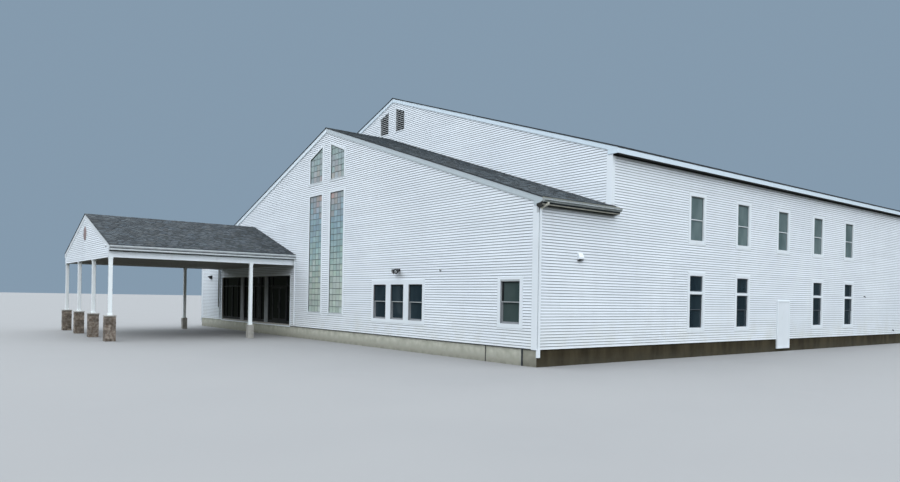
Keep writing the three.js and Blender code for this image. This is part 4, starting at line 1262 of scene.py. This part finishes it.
def make_vents():
    """Blades with pale fronts; their slopes back and the sheet behind them are painted black as shade"""
    face = 0.03
    for side, word in reversed(SIDES):
        outline = vent_outline(side)
        casing, blades, painted_shade = Shape(), Shape(), Shape()
        casing.surround(GABLE_WALL, grown(outline, VENT_CASING), outline, 0.0, 0.028)
        casing.surround(GABLE_WALL, grown(outline, 0.004), grown(outline, -0.012), -0.12, 0.01)
        painted_shade.slab(GABLE_WALL, grown(outline, -0.01), -0.13, -0.12)
        inner = grown(outline, -0.012)
        peak = max(inner[2][1], inner[3][1])
        z = inner[0][1] + 0.004
        while z + face < peak:
            a, b = span(inner, z + face)
            blades.slab(GABLE_WALL, rectangle(a, b, z, z + face), -0.006, 0.004)
            slope = [(-0.006, z + 0.002), (-0.006, z + face - 0.002), (-0.10, z + 0.10), (-0.10, z + 0.08)]
            painted_shade.loft([[GABLE_WALL.at(u, w, h) for w, h in slope] for u in (a, b)])
            z += VENT_PITCH
        trim_piece(f"gable_vent_{word}_casing", casing, [f"gable_vent_{word}"])
        piece(f"gable_vent_{word}_blades", blades, "louvre")
        piece(f"gable_vent_{word}_backing", painted_shade, "shadow")


# Portico


POST_SIDE = 0.165
FRONT_PIER = {"side": 0.46, "top": 1.21}
SIDE_FOOTING = {"side": 0.30, "top": 0.70}


def chamfered(x, y, half, cut):
    """A square's outline with cut corners"""
    return [(x - half + cut, y - half), (x + half - cut, y - half), (x + half, y - half + cut),
            (x + half, y + half - cut), (x + half - cut, y + half), (x - half + cut, y + half),
            (x - half, y + half - cut), (x - half, y - half + cut)]


def post_ring(x, y, half, z, cut=0.01):
    return [(a, b, z) for a, b in chamfered(x, y, half, cut)]


def make_post(shape, x, y, low, high):
    """A square post with a stepped base and cap"""
    half = POST_SIDE / 2
    shape.loft([post_ring(x, y, half, low), post_ring(x, y, half, high)])
    for z, way in ((low, 1), (high, -1)):
        profile = [(half + 0.014, 0.0), (half + 0.014, 0.07), (half + 0.004, 0.085)]
        shape.loft([post_ring(x, y, out, z + way * up, 0.006) for out, up in profile])


def pier_block(shape, x, y, face, along, out, heights, shade):
    """One stone in one of a pier's four faces: the first two look along Y, the others along X"""
    sign = 1 if face % 2 else -1
    near, far = sign * (FRONT_PIER["side"] / 2 - 0.04), sign * out
    if face < 2:
        shape.block((x + along[0], x + along[1]), (y + near, y + far), heights, shade)
    else:
        shape.block((x + near, x + far), (y + along[0], y + along[1]), heights, shade)


def make_pier(shape, caps, x, y):
    """A masonry pier of rough blocks round a core, under a grey coping"""
    side, top, cap = FRONT_PIER["side"], FRONT_PIER["top"], 0.055
    half = side / 2
    shape.block((x - half + 0.02, x + half - 0.02), (y - half + 0.02, y + half - 0.02), (0.0, top - cap), 0.7)
    caps.loft([post_ring(x, y, half + 0.02, top - cap), post_ring(x, y, half + 0.02, top - 0.008),
               post_ring(x, y, half + 0.008, top)])
    z = 0.0
    while z < top - cap - 0.03:
        rise = min(0.1 + 0.05 * rng.random(), top - cap - z)
        for face in range(4):
            cut = -half + side * (0.35 + 0.3 * rng.random())
            for a, b in ((-half, cut), (cut, half)):
                out = half - 0.006 + 0.012 * rng.random()
                shade = 0.65 + 0.7 * rng.random()
                along, heights = (a + 0.006, b - 0.006), (z + 0.005, z + rise - 0.005)
                pier_block(shape, x, y, face, along, out, heights, shade)
        z += rise


def make_columns():
    """Posts on masonry piers along the front and on plain footings at the sides"""
    posts, piers, caps, footings = Shape(), Shape(), Shape(), Shape()
    front_names = [f"portico_front_column_{i}" for i in range(1, 5)]
    side_names = ["portico_side_column_right", "portico_side_column_left"]
    for name in front_names + side_names:
        low, high = full_box(name)
        x, y = (low.x + high.x) / 2, (low.y + high.y) / 2
        if name in front_names:
            make_post(posts, x, y, FRONT_PIER["top"], high.z)
            make_pier(piers, caps, x, y)
        else:
            half, top = SIDE_FOOTING["side"] / 2, SIDE_FOOTING["top"]
            make_post(posts, x, y, top, high.z)
            footings.loft([post_ring(x, y, half, 0.0), post_ring(x, y, half, top)])
    piece("portico_posts", posts, "post", replaces=front_names + side_names)
    piece("portico_piers", piers, "stone")
    piece("portico_pier_caps", caps, "coping")
    piece("portico_side_footings", footings, "coping")


def make_portico_ceiling():
    """Narrow boards across the underside of the portico"""
    shape = Shape()
    low, high = full_box("portico_ceiling")
    width = 0.15
    count = round((high.y - low.y) / width)
    pitch = (high.y - low.y) / count
    for i in range(count):
        y = low.y + i * pitch
        shape.block((low.x, high.x), (y + 0.004, y + pitch - 0.004), (low.z - 0.012, low.z - 0.001))
    piece("portico_ceiling_boards", shape, "ceiling")


def make_plaque():
    """A plain raised oval in the portico's gable"""
    shape = Shape()
    rim = ((1.0, 0.0), (1.0, 0.026), (0.95, 0.034), (0.9, 0.03))
    field = ((0.88, 0.02), (0.85, 0.034), (0.4, 0.038))
    for steps in (rim, field):
        shape.loft([[PORTICO_WALL.at(u, w, z) for u, z in oval(size)] for size, w in steps])
    piece("portico_plaque", shape, "plaque")


# Entrance


BAR = 0.05
TRANSOM_Z = 2.84
GLAZING_Y = 0.06
GLAZING_DEPTH = 0.115
BOTTOM_BAR = 0.15
HALF_DOORWAY = 0.95
HINGE_HEIGHTS = (0.25, 1.06, 1.87)


def door_places():
    """The doorway's middle along X, and the lowest and highest point of its leaves"""
    left, right = full_box("door_leaf_left"), full_box("door_leaf_right")
    return (left[0].x + right[1].x) / 2, left[0].z, left[1].z


def hinge_halves(shape, axis, way, low, start, end):
    """One half of each hinge on an axis: part of its pin, and a plate that runs one way from it"""
    for height in HINGE_HEIGHTS:
        z0, z1 = low + height + start, low + height + end
        shape.rod((axis, GLAZING_Y - 0.009, z0), (axis, GLAZING_Y - 0.009, z1), 0.008)
        shape.block((axis, axis + way * 0.045), (GLAZING_Y - 0.005, GLAZING_Y), (z0, z1))


def make_storefront():
    bars, glass = Shape(), Shape()
    y = (GLAZING_Y, GLAZING_Y + GLAZING_DEPTH)
    pane = (GLAZING_Y + 0.045, GLAZING_Y + 0.055)
    bottom, top = FLOOR_TOP, ENTRY_TOP
    for word in ("left", "middle", "right"):
        low, high = full_box(f"storefront_{word}")
        left, right = low.x, high.x
        middle, half = (left + right) / 2, HALF_DOORWAY
        uprights = [left, right - BAR, middle - half - BAR, middle + half]
        for x in uprights:
            bars.block((x, x + BAR), y, (bottom, top))
        for z0, z1 in ((top - BAR, top), (TRANSOM_Z - BAR, TRANSOM_Z)):
            bars.block((left, right), (y[0] + 0.002, y[1] - 0.002), (z0, z1))
        lights = [(left, middle - half), (middle + half, right)]
        if word != "right":
            bars.block((middle - BAR, middle + BAR), y, (bottom, TRANSOM_Z))
            lights.append((middle - half, middle + half))
        for a, b in lights:
            bars.block((a, b), (y[0] + 0.004, y[1] - 0.004), (bottom, bottom + BOTTOM_BAR))
            glass.block((a, b), pane, (bottom + BOTTOM_BAR, TRANSOM_Z - BAR))
        glass.block((left, right), pane, (TRANSOM_Z, top - BAR))
    middle, leaf_low, _ = door_places()
    for side in (-1, 1):
        axis = middle + side * (HALF_DOORWAY - 0.005)
        hinge_halves(bars, axis, side, leaf_low, -0.06, -0.001)
    names = [f"storefront_{word}" for word in ("left", "middle", "right")]
    piece("storefront_bars", bars, "bronze", replaces=names, bevel=SOFT_EDGE)
    piece("storefront_panes", glass, "storefront_glass")


def make_doors():
    middle, low, high = door_places()
    stile, rail, bottom_rail = 0.095, 0.095, 0.26
    y = (GLAZING_Y, GLAZING_Y + 0.045)
    for side, word in reversed(SIDES):
        bars, glass, pull = Shape(), Shape(), Shape()
        left, right = sorted((middle + side * 0.005, middle + side * (HALF_DOORWAY - 0.01)))
        for x in (left, right - stile):
            bars.block((x, x + stile), y, (low, high))
        for z in ((low, low + bottom_rail), (high - rail, high)):
            bars.block((left + stile, right - stile), (y[0] + 0.001, y[1] - 0.001), z)
        glass.block((left + stile - 0.01, right - stile + 0.01), (y[0] + 0.018, y[0] + 0.027),
                    (low + bottom_rail - 0.01, high - rail + 0.01))
        axis = middle + side * (HALF_DOORWAY - 0.005)
        hinge_halves(bars, axis, -side, low, 0.0, 0.06)
        x, z = middle + side * 0.053, FLOOR_TOP + 1.03
        pull.rod((x, y[0] - 0.055, z - 0.16), (x, y[0] - 0.055, z + 0.16), 0.013)
        for height in (z - 0.13, z + 0.13):
            pull.rod((x, y[0] - 0.055, height), (x, y[0] + 0.001, height), 0.011)
        bars.block((left + stile, right - stile), (y[1] - 0.012, y[1] + 0.012), (low + 0.94, low + 1.0))
        body = f"{word}_door"
        piece(f"{word}_door_bars", bars, "bronze", body, [f"door_leaf_{word}"], bevel=SOFT_EDGE)
        piece(f"{word}_door_pane", glass, "storefront_glass", body)
        piece(f"{word}_door_pull", pull, "fixture", body)


# Small fixtures, each with its place along its wall and its height


FLOODLIGHT = (-8.32, 3.45)
WALL_PACK = (-31.65, 3.47)
BUTTON = (-5.39, 3.40)
# A dark strip on the front wall beside the portico's left downspout, painted shadow
SHADOW_STRIP = rectangle(-30.25, -30.04, 1.4, 3.96)
DISC = (-19.33, 4.5)
HOODED_VENT = (2.06, 3.84)
SPIGOTS = ((25.95, 2.78), (30.09, 0.83))


def stub(shape, wall, place, w0, w1, radius, end_radius=None):
    """A short round piece straight out of a wall"""
    u, z = place
    shape.rod(wall.at(u, w0, z), wall.at(u, w1, z), radius, end_radius)


def floodlight(dark, lens, wall, u, z, heads):
    """A round base with one or two lamp heads on short arms"""
    dark.rod(wall.at(u, 0.0, z), wall.at(u, 0.05, z), 0.07, 0.055, 16)
    for aside in heads:
        elbow = wall.at(u + aside * 0.4, 0.12, z + 0.01)
        tip = wall.at(u + aside, 0.3, z - 0.08)
        dark.rod(wall.at(u, 0.04, z), elbow, 0.018)
        dark.rod(elbow, tip, 0.06, 0.11, 16)
        face = wall.at(u + aside * 1.03, 0.315, z - 0.087)
        lens.rod(tip, face, 0.075, 0.065, 16)


def wall_pack(dark, wall, u, z):
    """A dark wedge-shaped wall lamp"""
    profile = [(0.0, z - 0.16), (0.08, z - 0.16), (0.25, z), (0.25, z + 0.05), (0.0, z + 0.10)]
    dark.loft([[wall.at(u + side * 0.12, w, h) for w, h in profile] for side in (-1, 1)])


def hooded_vent(white, dark, wall, u, z):
    """A white hood over a dark slot"""
    half = 0.12
    profile = [(0.0, z - 0.11), (0.13, z - 0.09), (0.13, z - 0.03), (0.05, z + 0.13), (0.0, z + 0.13)]
    white.loft([[wall.at(u + side * half, w, h) for w, h in profile] for side in (-1, 1)])
    dark.slab(wall, rectangle(u - half + 0.01, u + half - 0.01, z - 0.14, z - 0.105), 0.0, 0.10)


def make_fixtures():
    """Lamps, a dark strip by the portico as painted shadow, a button, a white disc, a hooded vent and spigots
    """
    dark, lens, white = Shape(), Shape(), Shape()
    floodlight(dark, lens, FRONT_WALL, *FLOODLIGHT, (-0.12, 0.12))
    wall_pack(dark, FRONT_WALL, *WALL_PACK)
    stub(lens, FRONT_WALL, BUTTON, 0.0, 0.05, 0.05, 0.045)
    stub(dark, FRONT_WALL, BUTTON, 0.05, 0.07, 0.022)
    dark.slab(FRONT_WALL, SHADOW_STRIP, 0.0, 0.055)
    stub(white, PORTICO_WALL, DISC, 0.0, 0.06, 0.06, 0.05)
    hooded_vent(white, dark, RIGHT_WALL, *HOODED_VENT)
    for u, z in SPIGOTS:
        stub(dark, RIGHT_WALL, (u, z), 0.0, 0.09, 0.02)
        dark.rod(RIGHT_WALL.at(u, 0.075, z), RIGHT_WALL.at(u, 0.1, z - 0.07), 0.016)
    piece("dark_fixtures_and_shadow_strip", dark, "fixture")
    piece("lamp_lenses", lens, "lens")
    trim_piece("hooded_vent", white)


def make_foundation_joints():
    """Two dark joints in the front foundation, and a dark band under the siding's foot, a painted shadow"""
    shape = Shape()
    for joint in (CORNER_JOINT, THIN_JOINT):
        x, half = joint["x"], joint["half"]
        shape.block((x - half, x + half), (-0.006, 0.01), (0.002, SIDING_BOTTOM - 0.006))
    # A dark band under the siding's foot: painted shadow
    gap = (SIDING_BOTTOM - 0.014, SIDING_BOTTOM + 0.012)
    shape.block((ENTRY_RIGHT, -POST["front"]), (-0.0245, 0.01), gap)
    piece("foundation_joints_and_shadow", shape, "drip")


def make_side_panel():
    """A frame on the boxed side panel, round its flat field"""
    shape = Shape()
    wall = Wall(PANEL_HIGH.x, "y", 1)
    outer = rectangle(PANEL_LOW.y, PANEL_HIGH.y, PANEL_LOW.z, PANEL_HIGH.z)
    shape.surround(wall, outer, grown(outer, -0.09), 0.0, 0.014)
    trim_piece("side_panel_frame", shape)


# Finishes of the nodes that stay


def finish_nodes():
    groups = {
        "concrete": ["foundation"],
        "screed": ["ground_floor", "upper_floor"],
        "plaster": ["front_wall_right", "front_wall_over_entry", "front_wall_left", "front_block_right_wall",
                    "front_block_left_wall", "front_block_back_wall", "main_right_wall", "main_left_wall",
                    "main_back_wall", "main_front_gable", "portico_gable"],
        "trim": ["portico_rake_boards", "portico_beam_front", "portico_beam_right", "portico_beam_left",
                 "side_door_panel"],
        "pilaster": ["entry_pilaster_left", "entry_pilaster_right"],
        "front_rake": ["front_rake_boards"],
        "rake": ["main_front_rake_boards", "main_back_rake_boards"],
        "soffit": [f"{roof}_roof_{word}" for roof in ("main", "front", "portico") for _, word in SIDES],
        "ceiling": ["portico_ceiling"],
    }
    for finish, names in groups.items():
        for name in names:
            materials = nodes[name].data.materials
            materials.clear()
            materials.append(finishes[finish])


# Stage, light and camera


def add_floor():
    half = 400.0
    mesh = bpy.data.meshes.new("floor")
    corners = [(x, y, 0) for x, y in rectangle(-half, half, -half, half)]
    mesh.from_pydata(corners, [], [(0, 1, 2, 3)])
    screed = plain_finish("pale_floor", (0.25, 0.25, 0.248), (0.265, 0.265, 0.262), 0.9, scale=0.5)
    mesh.materials.append(screed)
    floor = bpy.data.objects.new("floor", mesh)
    bpy.context.scene.collection.objects.link(floor)
    floor.visible_diffuse = False
    floor.visible_glossy = False


# Colours all round, by height from straight down (0) over the horizon (0.5) to straight up (1)
GROUND = (0.10, 0.105, 0.095)
TREES = (0.05, 0.06, 0.05)
SKY_LOW = (1.22, 1.36, 1.50)
SKY_HIGH = (1.95, 2.09, 2.27)
SURROUNDINGS = [(0.46, GROUND), (0.49, TREES), (0.56, TREES), (0.60, SKY_LOW), (1.0, SKY_HIGH)]
BACKDROP = (0.235, 0.325, 0.42)


def add_world():
    """An even overcast over a dark horizon and ground, with a plain grey-blue backdrop behind the building"""
    world = bpy.data.worlds.new("overcast")
    bpy.context.scene.world = world
    world.use_nodes = True
    tree = world.node_tree
    tree.nodes.clear()
    direction = tree.nodes.new("ShaderNodeTexCoord").outputs["Generated"]
    split = tree.nodes.new("ShaderNodeSeparateXYZ")
    ramp = tree.nodes.new("ShaderNodeValToRGB")
    scale = tree.nodes.new("ShaderNodeMapRange")
    scale.inputs["From Min"].default_value = -1.0
    path = tree.nodes.new("ShaderNodeLightPath")
    choose = tree.nodes.new("ShaderNodeMix")
    choose.data_type = "RGBA"
    background = tree.nodes.new("ShaderNodeBackground")
    output = tree.nodes.new("ShaderNodeOutputWorld")
    stops = ramp.color_ramp.elements
    for stop, (position, colour) in zip(stops, (SURROUNDINGS[0], SURROUNDINGS[-1])):
        stop.position = position
        stop.color = (*colour, 1)
    for position, colour in SURROUNDINGS[1:-1]:
        stops.new(position).color = (*colour, 1)
    choose.inputs[7].default_value = (*BACKDROP, 1)
    for start, end in (
        (direction, split.inputs[0]), (split.outputs["Z"], scale.inputs["Value"]),
        (scale.outputs[0], ramp.inputs[0]), (path.outputs["Is Camera Ray"], choose.inputs[0]),
        (ramp.outputs[0], choose.inputs[6]), (choose.outputs[2], background.inputs[0]),
        (background.outputs[0], output.inputs[0]),
    ):
        tree.links.new(start, end)


def add_soft_light():
    """A very wide, weak light from the camera's right and above"""
    data = bpy.data.lights.new("soft_light", "SUN")
    data.energy = 1.1
    data.angle = math.radians(70)
    data.color = (1.0, 0.985, 0.96)
    lamp = bpy.data.objects.new("soft_light", data)
    lamp.rotation_euler = Vector((0.62, -0.52, 0.62)).to_track_quat("Z", "Y").to_euler()
    bpy.context.scene.collection.objects.link(lamp)


EYE = (16.701, -16.785, 2.30)
HEADING = math.radians(51.995)
ROLL = math.radians(0.992)
FOCAL_PIXELS = 697.68
IMAGE_WIDTH = 900
HORIZON_BELOW_CENTRE = 56.84


def add_camera():
    data = bpy.data.cameras.new("camera")
    data.sensor_width = 36.0
    data.lens = data.sensor_width * FOCAL_PIXELS / IMAGE_WIDTH
    data.shift_y = HORIZON_BELOW_CENTRE / IMAGE_WIDTH
    data.clip_start, data.clip_end = 0.1, 2000.0
    camera = bpy.data.objects.new("camera", data)
    bpy.context.scene.collection.objects.link(camera)
    ahead = Vector((-math.sin(HEADING), math.cos(HEADING), 0))
    level = Vector((math.cos(HEADING), math.sin(HEADING), 0))
    upright = Vector((0, 0, 1))
    right = level * math.cos(ROLL) + upright * math.sin(ROLL)
    up = upright * math.cos(ROLL) - level * math.sin(ROLL)
    turn = Matrix((right, up, -ahead)).transposed().to_4x4()
    camera.matrix_world = Matrix.Translation(Vector(EYE) * SCALE + CORNER) @ turn
    bpy.context.scene.camera = camera


add_camera()
finish_nodes()
make_siding()
make_corner_posts()
make_channels()
make_rake_caps()
make_eaves()
make_shingles()
make_front_gutters()
make_portico_gutters()
make_window_rows()
make_single_window_shade()
make_stained_glass()
make_vents()
make_columns()
make_portico_ceiling()
make_plaque()
make_storefront()
make_doors()
make_fixtures()
make_foundation_joints()
make_side_panel()
add_floor()
add_world()
add_soft_light()
bpy.context.scene.view_settings.view_transform = "Standard"
